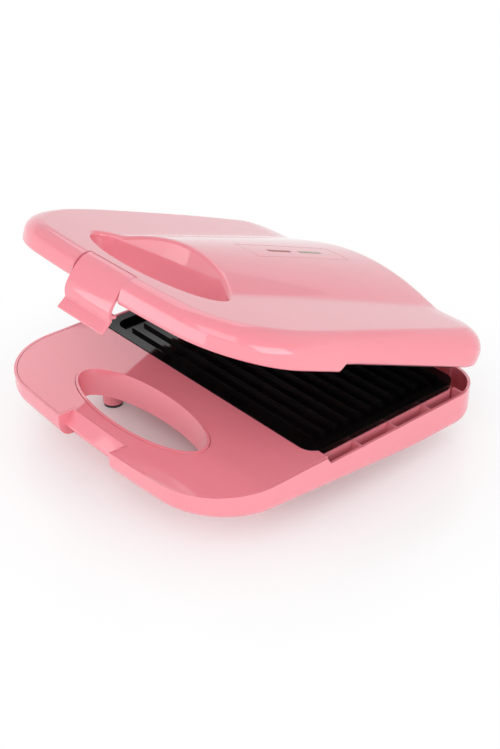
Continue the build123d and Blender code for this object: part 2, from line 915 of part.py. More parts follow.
def make_lid_shell():
    outer = lid_block(0)
    grip = lifted(grip_outline(lid_grip_length, lid_grip_width), 0, rim_height * 3)
    grip_tube = lifted(grip_outline(lid_grip_length, lid_grip_width, grip_wall), 0, rim_height * 3)
    hollow = lid_block(wall) + (dome(dome_skin) & block(
        (-body_width, dome_front_y, lid_rim + 10), (body_width, body_depth, rim_height * 3)
    ))
    mouth = lifted(plan(-wall), 0, lid_rim + lid_lower_radius)
    notch = side_prism(lid_notch_points(), lid_notch_half_width)
    notch_skin = Plane.YZ * offset(make_face(Polyline(*lid_notch_points(), close=True)), amount=notch_wall)
    notch_skin = extrude(notch_skin, amount=lid_notch_half_width + notch_wall, both=True) & outer
    shell = outer + dome(0)
    cavity = (hollow + mouth) - grip_tube
    shell -= cavity
    step_rear = lid_step_front_y + lid_step_run
    shell -= side_prism(
        [
            (lid_step_front_y, lid_rim),
            (step_rear, lid_low_rim),
            (body_depth, lid_low_rim),
            (body_depth, 0),
            (lid_step_front_y, 0),
        ],
        body_width,
    )
    shell = shell + notch_skin + pin_pads(outer) + lid_bosses(outer + dome(0)) + lid_knuckles()
    shell -= notch
    shell -= grip
    shell -= block((-body_width, -body_depth, 0), (body_width, grip_rear_y + grip_wall * 2, frame_bottom)) & mouth
    shell -= hinge_pin_hole(running_clearance)
    pin_reach = lid_notch_half_width + latch_pin_overhang - 1
    pin_hole_radius = latch_pin_radius + pin_seat_clearance
    shell -= crosswise(pin_hole_radius, -pin_reach, pin_reach, latch_pivot_y, latch_pivot_z)
    recess = (dome(0) - dome(panel_thickness + panel_gap)) & panel_zone(panel_gap)
    shell -= recess
    for y, length in lens_places():
        shell -= lens_zone(y, length, lens_gap, lens_low(y) - 2)
    for side in SIDES:
        front_x, front_y = frame_front_screw
        rear_x, rear_y = frame_rear_screw
        shell -= thread_hole(side * front_x, front_y, frame_bottom, frame_bottom + frame_screw_length)
        shell -= thread_hole(side * rear_x, rear_y, lid_low_rim, lid_low_rim + frame_screw_length + 1)
    for y in holder_screw_y:
        shell -= thread_hole(0, y, holder_height, holder_height + holder_screw_length + 1)
    return shell


# Inside the lid

def make_lid_frame():
    """The lid's inner frame: the grip's underside, the wall around the upper plate, ribs and rear flange."""
    front_top = frame_bottom + frame_front_thickness
    plate_clear = plate_outline(well_gap + seam_gap)
    edge_top = 2 * parting_height - well_top
    wall_top = 2 * parting_height - shield_top
    outline = plan(-wall - seam_gap) - plate_clear
    outline -= grip_outline(lid_grip_length, lid_grip_width, grip_wall + seam_gap)
    frame = lifted(outline, frame_bottom, front_top)
    frame &= block((-body_width, -body_depth, 0), (body_width, deck_rear_y, body_width))
    ring_outer = plate_outline(well_gap + seam_gap + frame_wall)
    frame += lifted(ring_outer - plate_clear, frame_bottom, edge_top)
    frame += lifted(ring_outer - plate_outline(well_gap - well_wall), edge_top, wall_top)
    flange = plan(-frame_rear_margin) - plate_outline(well_gap - well_wall)
    flange = lifted(flange, lid_low_rim + frame_lift, lid_low_rim + frame_lift + frame_flange_thickness)
    frame += flange & block((-body_width, plate_centre_y, 0), (body_width, body_depth, body_width))
    for side in SIDES:
        for y in rib_places():
            ring_x = plate_width / 2 + well_gap + seam_gap
            low_x, high_x = sorted((side * ring_x, side * (body_width / 2 - wall - seam_gap)))
            low = (low_x, y - rib_thickness / 2, lid_low_rim + frame_lift)
            frame += block(low, (high_x, y + rib_thickness / 2, wall_top - 3))
    front_x, front_y = frame_front_screw
    rear_x, rear_y = frame_rear_screw
    rear_low = lid_low_rim + frame_lift
    for side in SIDES:
        frame += upright(frame_boss_radius, frame_bottom, frame_bottom + frame_boss_height, side * front_x, front_y)
        frame += upright(frame_boss_radius, rear_low, rear_low + frame_boss_height, side * rear_x, rear_y)
    step_rear = lid_step_front_y + lid_step_run
    frame -= side_prism(
        [
            (lid_step_front_y, frame_bottom),
            (step_rear, lid_low_rim + frame_lift),
            (body_depth, lid_low_rim + frame_lift),
            (body_depth, 0),
            (lid_step_front_y, 0),
        ],
        body_width,
    )
    notch_skin = make_face(Polyline(*lid_notch_points(), close=True))
    notch_skin = Plane.YZ * offset(notch_skin, amount=notch_wall + seam_gap)
    frame -= extrude(notch_skin, amount=lid_notch_half_width + notch_wall + seam_gap, both=True)
    for side in SIDES:
        frame -= head_recess(side * front_x, front_y, 0, frame_bottom + frame_screw_seat)
        frame -= screw_hole(side * front_x, front_y, 0, frame_bottom + frame_boss_height + 1)
        frame -= head_recess(side * rear_x, rear_y, 0, rear_low + frame_screw_seat)
        frame -= screw_hole(side * rear_x, rear_y, 0, rear_low + frame_boss_height + 1)
    return frame - upright(sleeve_radius + seam_gap, 0, wall_top, sleeve_lid_x, sleeve_rise_y)


def make_frame_screws():
    screws = []
    for side in SIDES:
        x, y = frame_front_screw
        seat = frame_bottom + frame_screw_seat
        screws.append(screw(side * x, y, seat, frame_bottom + frame_screw_length - 1))
        x, y = frame_rear_screw
        seat = lid_low_rim + frame_lift + frame_screw_seat
        screws.append(screw(side * x, y, seat, lid_low_rim + frame_screw_length))
    return screws


def make_indicator_panel():
    panel = (dome(0) - dome(panel_thickness)) & panel_zone(0)
    for y, length in lens_places():
        panel -= lens_zone(y, length, lens_gap, lid_rim)
    return panel


def make_lens(y, length):
    return lens_zone(y, length, 0, lens_low(y)) & dome(0)


def make_lamp(y):
    """A small glow lamp lying on the holder under its lens."""
    height = holder_height + holder_thickness + lamp_radius + contact_gap
    half = lamp_length / 2
    glass = lengthwise(lamp_radius, y - half, y + half, 0, height)
    return glass + Pos(0, y + half, height) * Sphere(lamp_radius)


def make_lamp_holder():
    """The plate that carries both lamps under the dome."""
    low_y = power_lens_y - power_lens_length / 2
    high_y = holder_screw_y[-1] + 2 * holder_boss_radius
    half = holder_half_width
    holder = block((-half, low_y, holder_height), (half, high_y, holder_height + holder_thickness))
    for y, _ in lens_places():
        for side in SIDES:
            inner = side * (lamp_radius + contact_gap)
            outer = side * (lamp_radius + contact_gap + holder_clip_thickness)
            low_x, high_x = sorted((inner, outer))
            top = holder_height + holder_thickness + lamp_radius * 1.5
            half_clip = holder_clip_length / 2
            holder += block((low_x, y - half_clip, holder_height), (high_x, y + half_clip, top))
    for y in holder_screw_y:
        holder -= screw_hole(0, y, holder_height - 1, holder_height + holder_thickness + 1)
    return holder


def make_holder_screws():
    tip = holder_height + holder_screw_length
    return [screw(0, y, holder_height, tip) for y in holder_screw_y]


# Latch

def latch_outline():
    """Y and Z pairs down the latch's outer face, from its top edge to the bend above the finger lip."""
    shape = [
        (0.237, 0.18),
        (0.585, 0.05),
        (0.776, -0.133),
        (0.914, -0.373),
        (1.0, -0.608),
        (0.987, -0.792),
        (0.849, -0.957),
    ]
    return [(latch_pivot_y - out * latch_reach, latch_pivot_z + up * latch_drop) for out, up in shape]


def inset_points(points, distance):
    """The same points moved sideways off the line that they follow."""
    moved = []
    for index, (y, z) in enumerate(points):
        before = points[max(index - 1, 0)]
        after = points[min(index + 1, len(points) - 1)]
        run_y = after[0] - before[0]
        run_z = after[1] - before[1]
        length = math.hypot(run_y, run_z)
        moved.append((y - run_z / length * distance, z + run_y / length * distance))
    return moved


def make_latch():
    """A curved cover with a barrel at the top, a hook inside and a finger lip below."""
    outer_points = latch_outline()
    inner_points = inset_points(outer_points, latch_thickness)
    outer = Spline(*outer_points)
    inner = Spline(*inner_points)
    bend_y, bend_z = outer_points[-1]
    lip_tip = (bend_y - latch_thickness * 1.6, bend_z - latch_drop / 4)
    lip_back = (lip_tip[0] + latch_thickness * 0.65, lip_tip[1] - latch_thickness * 0.4)
    lip = Polyline(outer_points[-1], lip_tip, lip_back, inner_points[-1])
    top = Line(inner_points[0], outer_points[0])
    cover = make_face(outer + lip + inner + top)
    hook_low = latch_hook_top - latch_hook_thickness
    hook_root = outer_points[-2][0] + latch_thickness / 2
    hook = make_face(Polyline(
        (hook_root, latch_hook_top),
        (latch_hook_reach, latch_hook_top),
        (latch_hook_reach, hook_low),
        (hook_root, hook_low - 1),
        close=True,
    ))
    web = make_face(Polyline(
        (latch_pivot_y, latch_pivot_z + latch_barrel_radius - 1),
        (inner_points[1][0] - 1, inner_points[1][1] + 1),
        (inner_points[2][0] - 1, inner_points[2][1]),
        (latch_pivot_y, latch_pivot_z - latch_barrel_radius + 1),
        close=True,
    ))
    section = cover + hook + web
    latch = extrude(Plane.YZ * section, amount=latch_half_width, both=True)
    latch += crosswise(latch_barrel_radius, -latch_half_width, latch_half_width, latch_pivot_y, latch_pivot_z)
    reach = latch_half_width + 1
    bore = latch_pin_radius + running_clearance
    return latch - crosswise(bore, -reach, reach, latch_pivot_y, latch_pivot_z)


def make_latch_pin():
    reach = lid_notch_half_width + latch_pin_overhang - 1.2
    return crosswise(latch_pin_radius, -reach, reach, latch_pivot_y, latch_pivot_z)


# Wiring

def wire(points, radius, bend):
    """A round lead along straight runs with bends of one radius."""
    path = FilletPolyline(*points, radius=bend)
    start = Plane(origin=path @ 0, z_dir=path % 0)
    return sweep(start * Circle(radius), path=path)


def make_base_wiring():
    """The leads from the terminal block to the thermostat, the fuse and the heater, and the lid's sleeve."""
    block_y = block_front_y() + block_depth / 2
    start_z = block_low() + block_height - block_bore_depth + wire_radius * 2
    over = well_top - 2 * wire_radius
    drop_y = plate_rear + well_gap - well_wall - wire_radius - wire_gap
    under = shield_top + wire_radius + wire_gap
    live_x, sleeve_x, neutral_x = reversed(block_ways())
    thermostat_side = heater_centre_y + thermostat_radius + contact_gap
    terminal_x = heater_open_x - terminal_length / 2
    terminal_low = heater_height - terminal_radius
    near_leg = heater_centre_y + heater_bend_radius
    far_leg = heater_centre_y - heater_bend_radius
    fuse_x, fuse_y = fuse_centre
    fuse_end = fuse_length / 2 + fuse_lead_length
    lead_x = thermostat_radius / 3
    turn_x = (fuse_x - fuse_end + terminal_x) / 2
    across_y = (fuse_y + drop_y) / 2
    side_x = terminal_x - wire_bend * 2
    live = wire(
        [(live_x, block_y, start_z), (live_x, block_y, over), (live_x, drop_y, over), (live_x, drop_y, under),
         (live_x, across_y + wire_pitch, under), (lead_x, across_y, under), (lead_x, thermostat_side, under)],
        wire_radius, wire_bend,
    )
    neutral = wire(
        [(neutral_x, block_y, start_z), (neutral_x, block_y, over), (neutral_x, drop_y, over),
         (neutral_x, drop_y, under), (neutral_x, across_y + wire_pitch, under), (side_x, across_y, under),
         (side_x, near_leg, under), (terminal_x, near_leg, under), (terminal_x, near_leg, terminal_low)],
        wire_radius, wire_tight_bend,
    )
    link = wire(
        [(-lead_x, thermostat_side, under), (-lead_x, fuse_y - fuse_end, under), (-lead_x, fuse_y, fuse_height()),
         (fuse_x + fuse_end, fuse_y, fuse_height())],
        wire_radius, wire_tight_bend,
    )
    feed = wire(
        [(fuse_x - fuse_end, fuse_y, fuse_height()), (fuse_x - fuse_end * 1.5, fuse_y, fuse_height()),
         (fuse_x - fuse_end * 2.5, fuse_y, under), (turn_x, fuse_y, under), (turn_x, far_leg, under),
         (terminal_x, far_leg, under), (terminal_x, far_leg, terminal_low)],
        wire_radius, wire_tight_bend,
    )
    sleeve_side = block_x + block_width / 2
    sleeve_exit_z = block_low() + block_height - sleeve_radius
    sleeve = wire(
        [(sleeve_side, block_y, sleeve_exit_z), (sleeve_base_x, block_y, sleeve_exit_z),
         (sleeve_base_x, sleeve_rise_y, hinge_z - sleeve_radius), (sleeve_base_x, hinge_y, hinge_z),
         (sleeve_meeting_x, hinge_y, hinge_z)],
        sleeve_radius, sleeve_bend,
    )
    return [live, neutral, link, feed, sleeve]


def make_lid_wiring():
    """The leads from the sleeve at the hinge to the upper heater and to both lamps, on the closed lid."""
    shield_high = 2 * parting_height - shield_bottom
    shield_low = 2 * parting_height - shield_top
    terminal_high = 2 * parting_height - heater_height + terminal_radius
    terminal_x = heater_open_x - terminal_length / 2
    near_leg = heater_centre_y + heater_bend_radius
    far_leg = heater_centre_y - heater_bend_radius
    sleeve_top = shield_low - 2 * sleeve_radius
    over = shield_high + wire_radius + wire_gap
    under = shield_low - wire_radius - wire_gap
    apart = wire_radius + 0.2
    pair_y = sleeve_rise_y - 2 * apart
    cross_y = plate_rear - 5.5
    hole_x, hole_y = lid_wire_hole
    lamp_side = lamp_radius + contact_gap + holder_clip_thickness + lamp_wire_radius + seam_gap
    lamp_height = holder_height + holder_thickness + lamp_wire_radius + contact_gap
    lamp_start = power_lens_y - lamp_length / 2
    sleeve = wire(
        [(sleeve_meeting_x, hinge_y, hinge_z), (sleeve_lid_x, hinge_y, hinge_z),
         (sleeve_lid_x, sleeve_rise_y, hinge_z + sleeve_radius), (sleeve_lid_x, sleeve_rise_y, sleeve_top)],
        sleeve_radius, sleeve_bend,
    )
    near = wire(
        [(sleeve_lid_x - wire_radius, sleeve_rise_y, sleeve_top), (sleeve_lid_x - wire_radius, sleeve_rise_y, over),
         (sleeve_lid_x - wire_radius, cross_y, over), (hole_x + apart, hole_y, over),
         (hole_x + apart, hole_y, under), (hole_x + apart, near_leg, under), (terminal_x, near_leg, under),
         (terminal_x, near_leg, terminal_high)],
        wire_radius, lead_bend,
    )
    far = wire(
        [(sleeve_lid_x - wire_radius, pair_y + 0.1, over), (sleeve_lid_x - 3 * apart, cross_y - 4, over),
         (hole_x - apart, hole_y - 1, over), (hole_x - apart, hole_y - 1, under),
         (hole_x - apart, far_leg, under), (terminal_x, far_leg, under), (terminal_x, far_leg, terminal_high)],
        wire_radius, lead_bend,
    )
    lamps = wire(
        [(sleeve_lid_x + wire_radius, sleeve_rise_y, sleeve_top), (sleeve_lid_x + wire_radius, sleeve_rise_y, over),
         (lamp_side, cross_y - 2, over), (lamp_side, holder_screw_y[-1] + 10, lamp_height),
         (lamp_side, lamp_start - wire_pitch / 2, lamp_height), (0, lamp_start - wire_pitch / 2, lamp_height),
         (0, lamp_start, lamp_height)],
        lamp_wire_radius, lead_bend,
    )
    return [sleeve, near, far, lamps]


def build():
    """Every piece by its name, with the lid and latch at their rest angle."""
    plate = make_grill_plate()
    heater = make_heater()
    clamps = make_heater_clamps()
    clamp_screws = make_clamp_screws()
    base = {
        "base_shell": make_base_shell(),
        "deck_cover": make_deck_cover(),
        "deck_screws": make_deck_screws(),
        "foot_pads": make_foot_pads(),
        "hinge_pins": make_hinge_pins(),
        "cord_gland": make_cord_gland(),
        "lower_plate": add_thermostat_bosses(plate),
        "lower_heater": heater,
        "lower_heater_clamps": clamps,
        "lower_clamp_screws": clamp_screws,
        "lower_heat_shield": make_lower_shield(),
        "lower_plate_screws": make_lower_plate_screws(),
        "thermostat": make_thermostat(),
        "thermostat_screws": make_thermostat_screws(),
        "thermal_fuse": make_thermal_fuse(),
        "fuse_clip": make_fuse_clip(),
        "terminal_block": make_terminal_block(),
        "terminal_screws": make_block_screws(),
        "base_wiring": make_base_wiring(),
    }
    flipped = {
        "upper_plate": plate,
        "upper_heater": heater,
        "upper_heater_clamps": clamps,
        "upper_clamp_screws": clamp_screws,
        "upper_heat_shield": make_upper_shield(),
        "upper_plate_screws": make_upper_plate_screws(),
    }
    lid = {
        "lid_shell": make_lid_shell(),
        "lid_frame": make_lid_frame(),
        "lid_frame_screws": make_frame_screws(),
        "indicator_panel": make_indicator_panel(),
        "power_lens": make_lens(power_lens_y, power_lens_length),
        "ready_lens": make_lens(ready_lens_y, ready_lens_length),
        "power_lamp": make_lamp(power_lens_y),
        "ready_lamp": make_lamp(ready_lens_y),
        "lamp_holder": make_lamp_holder(),
        "lamp_holder_screws": make_holder_screws(),
        "lid_wiring": make_lid_wiring(),
        "latch": make_latch(),
        "latch_pin": make_latch_pin(),
    }
    pieces = {name: as_list(shape) for name, shape in base.items()}
    for name, shape in flipped.items():
        pieces[name] = [open_lid(to_lid(solid)) for solid in as_list(shape)]
    for name, shape in lid.items():
        pieces[name] = [open_lid(solid) for solid in as_list(shape)]
    return {name: [Pos(0, -rest_middle_y, 0) * solid for solid in solids] for name, solids in pieces.items()}


def as_list(shape):
    return shape if isinstance(shape, list) else [shape]


os.makedirs("parts", exist_ok=True)
for name, solids in build().items():
    whole = solids[0] if len(solids) == 1 else Compound(children=solids)
    export_step(whole, f"parts/{name}.step")
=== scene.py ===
import bpy
import bmesh
import json
import math
from mathutils import Matrix, Vector


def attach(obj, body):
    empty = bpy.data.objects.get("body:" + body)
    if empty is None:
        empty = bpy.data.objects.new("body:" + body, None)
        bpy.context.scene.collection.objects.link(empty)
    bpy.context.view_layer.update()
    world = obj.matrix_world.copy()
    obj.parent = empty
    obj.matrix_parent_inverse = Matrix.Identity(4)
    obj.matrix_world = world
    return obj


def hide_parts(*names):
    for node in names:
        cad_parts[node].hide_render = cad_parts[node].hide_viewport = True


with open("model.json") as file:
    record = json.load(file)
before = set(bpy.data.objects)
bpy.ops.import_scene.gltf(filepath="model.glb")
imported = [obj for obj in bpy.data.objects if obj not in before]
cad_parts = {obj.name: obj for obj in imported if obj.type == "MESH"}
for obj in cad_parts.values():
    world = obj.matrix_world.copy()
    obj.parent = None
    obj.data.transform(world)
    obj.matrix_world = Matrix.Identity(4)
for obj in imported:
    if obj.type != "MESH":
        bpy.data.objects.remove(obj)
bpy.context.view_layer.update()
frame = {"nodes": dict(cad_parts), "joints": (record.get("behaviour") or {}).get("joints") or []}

# Objects are in metres. The shapes of the lid, its panel, lenses and latch are worked out in millimetres
# with the lid closed, and are then opened about the hinge.
MM = 0.001
hinge = next(joint for joint in frame["joints"] if joint["name"] == "lid_hinge")
HINGE_POINT = Vector(hinge["pos_m"])
OPEN_ANGLE = math.radians(-hinge["range_deg"][0])
TO_HINGE = Matrix.Translation(-HINGE_POINT)
OPENING = Matrix.Translation(HINGE_POINT) @ Matrix.Rotation(-OPEN_ANGLE, 4, "X") @ TO_HINGE


# Mesh helpers

MERGE_DISTANCE = 0.000004
FLAT_WITHIN = math.radians(0.4)
LARGE_FACE_WEIGHT = 80


def new_object(name, mesh):
    """An object at the origin that holds the mesh."""
    obj = bpy.data.objects.new(name, mesh)
    bpy.context.scene.collection.objects.link(obj)
    return obj


def raw_mesh(name, points, faces):
    """A mesh from points and faces as they are given."""
    mesh = bpy.data.meshes.new(name)
    mesh.from_pydata([tuple(point) for point in points], [], faces)
    return mesh


def mesh_from(name, points, faces):
    """An object from points and faces, with its normals turned outwards and doubles merged."""
    mesh = raw_mesh(name, points, faces)
    work = bmesh.new()
    work.from_mesh(mesh)
    bmesh.ops.remove_doubles(work, verts=work.verts, dist=MERGE_DISTANCE)
    bmesh.ops.recalc_face_normals(work, faces=work.faces)
    work.to_mesh(mesh)
    work.free()
    return new_object(name, mesh)


def band(low, high, count):
    """The faces between two closed rings of points, given the number of each ring's first point."""
    faces = []
    for index in range(count):
        after = (index + 1) % count
        faces.append((low + index, low + after, high + after, high + index))
    return faces


def smooth(obj, angle):
    """Smooth shading with edges sharper than the angle kept crisp."""
    mesh = obj.data
    for face in mesh.polygons:
        face.use_smooth = True
    mesh.set_sharp_from_angle(angle=math.radians(angle))


def copy_of_node(node, name):
    """A merged copy of a CAD node's mesh under a new name."""
    mesh = frame["nodes"][node].data.copy()
    mesh.name = name
    mesh.materials.clear()
    work = bmesh.new()
    work.from_mesh(mesh)
    bmesh.ops.remove_doubles(work, verts=work.verts, dist=MERGE_DISTANCE)
    bmesh.ops.dissolve_limit(work, angle_limit=FLAT_WITHIN, verts=work.verts, edges=work.edges)
    work.to_mesh(mesh)
    work.free()
    return new_object(name, mesh)


def joined(pieces):
    """Several objects' meshes put together in the first one."""
    work = bmesh.new()
    for piece in pieces:
        work.from_mesh(piece.data)
    work.to_mesh(pieces[0].data)
    work.free()
    for piece in pieces[1:]:
        bpy.data.objects.remove(piece)
    return pieces[0]


def joined_with_shading(first, second):
    """Two objects' meshes in one, each with the shading it has."""
    with bpy.context.temp_override(active_object=first, selected_editable_objects=[first, second]):
        bpy.ops.object.join()
    return first


def stand_for(obj, node, body):
    """The object takes a CAD node's place on a body."""
    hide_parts(node)
    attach(obj, body)


def apply_modifiers(obj):
    """Bake the object's modifiers into its mesh."""
    graph = bpy.context.evaluated_depsgraph_get()
    mesh = bpy.data.meshes.new_from_object(obj.evaluated_get(graph))
    obj.modifiers.clear()
    obj.data = mesh


def round_edges(obj, width, angle, segments=2):
    """Rounds every edge sharper than the angle, by a width in millimetres, and keeps flat faces flat."""
    smooth(obj, angle)
    bevel = obj.modifiers.new("edge", "BEVEL")
    bevel.width = width * MM
    bevel.segments = segments
    bevel.limit_method = "ANGLE"
    bevel.angle_limit = math.radians(angle)
    bevel.use_clamp_overlap = True
    bevel.miter_outer = "MITER_ARC"
    bevel.harden_normals = True
    weights = obj.modifiers.new("normals", "WEIGHTED_NORMAL")
    weights.keep_sharp = True
    weights.weight = LARGE_FACE_WEIGHT
    apply_modifiers(obj)


# Materials

def principled(name):
    """A new material with its node tree and its surface shader."""
    material = bpy.data.materials.new(name)
    material.use_nodes = True
    tree = material.node_tree
    shader = tree.nodes["Principled BSDF"]
    return material, tree, shader


def object_noise(tree, scale, detail=2.0):
    """Cloudy noise that stays fixed to the piece."""
    place = tree.nodes.new("ShaderNodeTexCoord")
    noise = tree.nodes.new("ShaderNodeTexNoise")
    noise.inputs["Scale"].default_value = scale
    noise.inputs["Detail"].default_value = detail
    tree.links.new(place.outputs["Object"], noise.inputs["Vector"])
    return noise


def blend_colours(tree, factor, low, high, low_at=0.3, high_at=0.7):
    """One colour below a value of the factor, another above a second value, and a blend between."""
    ramp = tree.nodes.new("ShaderNodeValToRGB")
    ramp.color_ramp.elements[0].position = low_at
    ramp.color_ramp.elements[0].color = (*low, 1)
    ramp.color_ramp.elements[1].position = high_at
    ramp.color_ramp.elements[1].color = (*high, 1)
    tree.links.new(factor, ramp.inputs["Fac"])
    return ramp.outputs["Color"]


def vary(tree, factor, low, high):
    """A value that runs from low to high as the factor runs from 0 to 1."""
    spread = tree.nodes.new("ShaderNodeMapRange")
    spread.inputs["To Min"].default_value = low
    spread.inputs["To Max"].default_value = high
    tree.links.new(factor, spread.inputs["Value"])
    return spread.outputs["Result"]


def bump(tree, shader, height, distance, strength):
    """Fine relief on the surface, with its depth in metres."""
    node = tree.nodes.new("ShaderNodeBump")
    node.inputs["Distance"].default_value = distance
    node.inputs["Strength"].default_value = strength
    tree.links.new(height, node.inputs["Height"])
    tree.links.new(node.outputs["Normal"], shader.inputs["Normal"])


def make_pink_plastic():
    """Glossy moulded plastic: faint flow in its colour, a polished skin, hairline rubs and dull spots."""
    material, tree, shader = principled("pink_plastic")
    flow = object_noise(tree, scale=7.0)
    colour = blend_colours(tree, flow.outputs["Fac"], PINK_DEEP, PINK_LIGHT)
    tree.links.new(colour, shader.inputs["Base Color"])
    rubs = hairlines(tree, stretch=(260.0, 9.0, 40.0))
    polish = object_noise(tree, scale=26.0, detail=3.0)
    dull = vary(tree, polish.outputs["Fac"], low=0.03, high=0.07)
    rubbed = vary(tree, rubs, low=0.0, high=0.04)
    tree.links.new(added(tree, dull, rubbed), shader.inputs["Roughness"])
    shader.inputs["IOR"].default_value = 1.5
    shader.inputs["Coat Weight"].default_value = 0.45
    shader.inputs["Coat Roughness"].default_value = 0.03
    shader.inputs["Subsurface Weight"].default_value = 0.12
    shader.inputs["Subsurface Radius"].default_value = (0.006, 0.003, 0.002)
    shader.inputs["Subsurface Scale"].default_value = 0.5
    waves = object_noise(tree, scale=30.0, detail=1.0)
    bump(tree, shader, waves.outputs["Fac"], distance=0.00005, strength=0.2)
    return material


def hairlines(tree, stretch):
    """Thin stretched streaks that show only here and there."""
    place = tree.nodes.new("ShaderNodeTexCoord")
    drawn_out = tree.nodes.new("ShaderNodeMapping")
    drawn_out.inputs["Scale"].default_value = stretch
    drawn_out.inputs["Rotation"].default_value = (0.0, 0.0, 0.5)
    streaks = tree.nodes.new("ShaderNodeTexNoise")
    streaks.inputs["Scale"].default_value = 3.0
    streaks.inputs["Detail"].default_value = 4.0
    tree.links.new(place.outputs["Object"], drawn_out.inputs["Vector"])
    tree.links.new(drawn_out.outputs["Vector"], streaks.inputs["Vector"])
    pick = tree.nodes.new("ShaderNodeMapRange")
    pick.inputs["From Min"].default_value = 0.62
    pick.inputs["From Max"].default_value = 0.70
    tree.links.new(streaks.outputs["Fac"], pick.inputs["Value"])
    return pick.outputs["Result"]


def added(tree, first, second):
    """The sum of two values."""
    total = tree.nodes.new("ShaderNodeMath")
    total.operation = "ADD"
    tree.links.new(first, total.inputs[0])
    tree.links.new(second, total.inputs[1])
    return total.outputs["Value"]


def make_nonstick():
    """Black non-stick coating on cast metal, smooth with a fine grain."""
    material, tree, shader = principled("nonstick_coating")
    cloud = object_noise(tree, scale=30.0, detail=3.0)
    colour = blend_colours(tree, cloud.outputs["Fac"], (0.0035, 0.0028, 0.003), (0.006, 0.005, 0.005))
    tree.links.new(colour, shader.inputs["Base Color"])
    tree.links.new(vary(tree, cloud.outputs["Fac"], low=0.05, high=0.09), shader.inputs["Roughness"])
    shader.inputs["Specular IOR Level"].default_value = 0.22
    grain = object_noise(tree, scale=2200.0)
    bump(tree, shader, grain.outputs["Fac"], distance=0.00001, strength=0.08)
    return material


def make_rubber():
    """Dull black rubber with a matt grain."""
    material, tree, shader = principled("foot_rubber")
    cloud = object_noise(tree, scale=90.0, detail=3.0)
    colour = blend_colours(tree, cloud.outputs["Fac"], (0.02, 0.02, 0.022), (0.035, 0.034, 0.036))
    tree.links.new(colour, shader.inputs["Base Color"])
    shader.inputs["Roughness"].default_value = 0.75
    grain = object_noise(tree, scale=1500.0)
    bump(tree, shader, grain.outputs["Fac"], distance=0.00005, strength=0.6)
    return material


def make_steel(name, dark, light, rough_low, rough_high):
    """Plated or drawn steel with fine streaks."""
    material, tree, shader = principled(name)
    cloud = object_noise(tree, scale=120.0, detail=4.0)
    colour = blend_colours(tree, cloud.outputs["Fac"], dark, light)
    tree.links.new(colour, shader.inputs["Base Color"])
    tree.links.new(vary(tree, cloud.outputs["Fac"], rough_low, rough_high), shader.inputs["Roughness"])
    shader.inputs["Metallic"].default_value = 1.0
    grain = object_noise(tree, scale=900.0)
    bump(tree, shader, grain.outputs["Fac"], distance=0.00003, strength=0.4)
    return material


def make_plain_plastic(name, dark, light, roughness):
    """An inner part's finish, slightly clouded and finely grained."""
    material, tree, shader = principled(name)
    cloud = object_noise(tree, scale=70.0, detail=3.0)
    colour = blend_colours(tree, cloud.outputs["Fac"], dark, light)
    tree.links.new(colour, shader.inputs["Base Color"])
    shader.inputs["Roughness"].default_value = roughness
    grain = object_noise(tree, scale=800.0)
    bump(tree, shader, grain.outputs["Fac"], distance=0.00004, strength=0.4)
    return material


def make_lens_tint(name, dark, light):
    """Tinted lens plastic with fine lengthwise ribs moulded inside."""
    material, tree, shader = principled(name)
    place = tree.nodes.new("ShaderNodeTexCoord")
    ribs = tree.nodes.new("ShaderNodeTexWave")
    ribs.bands_direction = "X"
    ribs.inputs["Scale"].default_value = 260.0
    tree.links.new(place.outputs["Object"], ribs.inputs["Vector"])
    colour = blend_colours(tree, ribs.outputs["Fac"], dark, light, low_at=0.1, high_at=0.9)
    tree.links.new(colour, shader.inputs["Base Color"])
    shader.inputs["Roughness"].default_value = 0.14
    shader.inputs["Transmission Weight"].default_value = 0.15
    bump(tree, shader, ribs.outputs["Fac"], distance=0.00005, strength=0.4)
    return material


PINK_DEEP = (0.84, 0.245, 0.295)
PINK_LIGHT = (0.87, 0.28, 0.33)
PINK = make_pink_plastic()
NONSTICK = make_nonstick()
RUBBER = make_rubber()
ZINC = make_steel("zinc_plate", (0.55, 0.56, 0.57), (0.70, 0.71, 0.72), 0.28, 0.42)
HEATER = make_steel("heater_steel", (0.20, 0.19, 0.19), (0.33, 0.31, 0.29), 0.38, 0.55)
PIN = make_steel("pin_steel", (0.60, 0.60, 0.61), (0.74, 0.74, 0.75), 0.18, 0.28)
BRASS = make_steel("terminal_brass", (0.62, 0.44, 0.16), (0.75, 0.56, 0.25), 0.25, 0.38)
CREAM = make_plain_plastic("cream_plastic", (0.62, 0.58, 0.47), (0.72, 0.68, 0.58), 0.5)
SLEEVE = make_plain_plastic("glass_fibre_sleeve", (0.60, 0.58, 0.52), (0.75, 0.73, 0.68), 0.8)
RED_LENS = make_lens_tint("red_lens", (0.34, 0.030, 0.030), (0.50, 0.075, 0.065))
GREEN_LENS = make_lens_tint("green_lens", (0.30, 0.25, 0.16), (0.46, 0.40, 0.28))
LAMP_GLASS = make_plain_plastic("lamp_glass", (0.70, 0.68, 0.62), (0.82, 0.80, 0.76), 0.12)

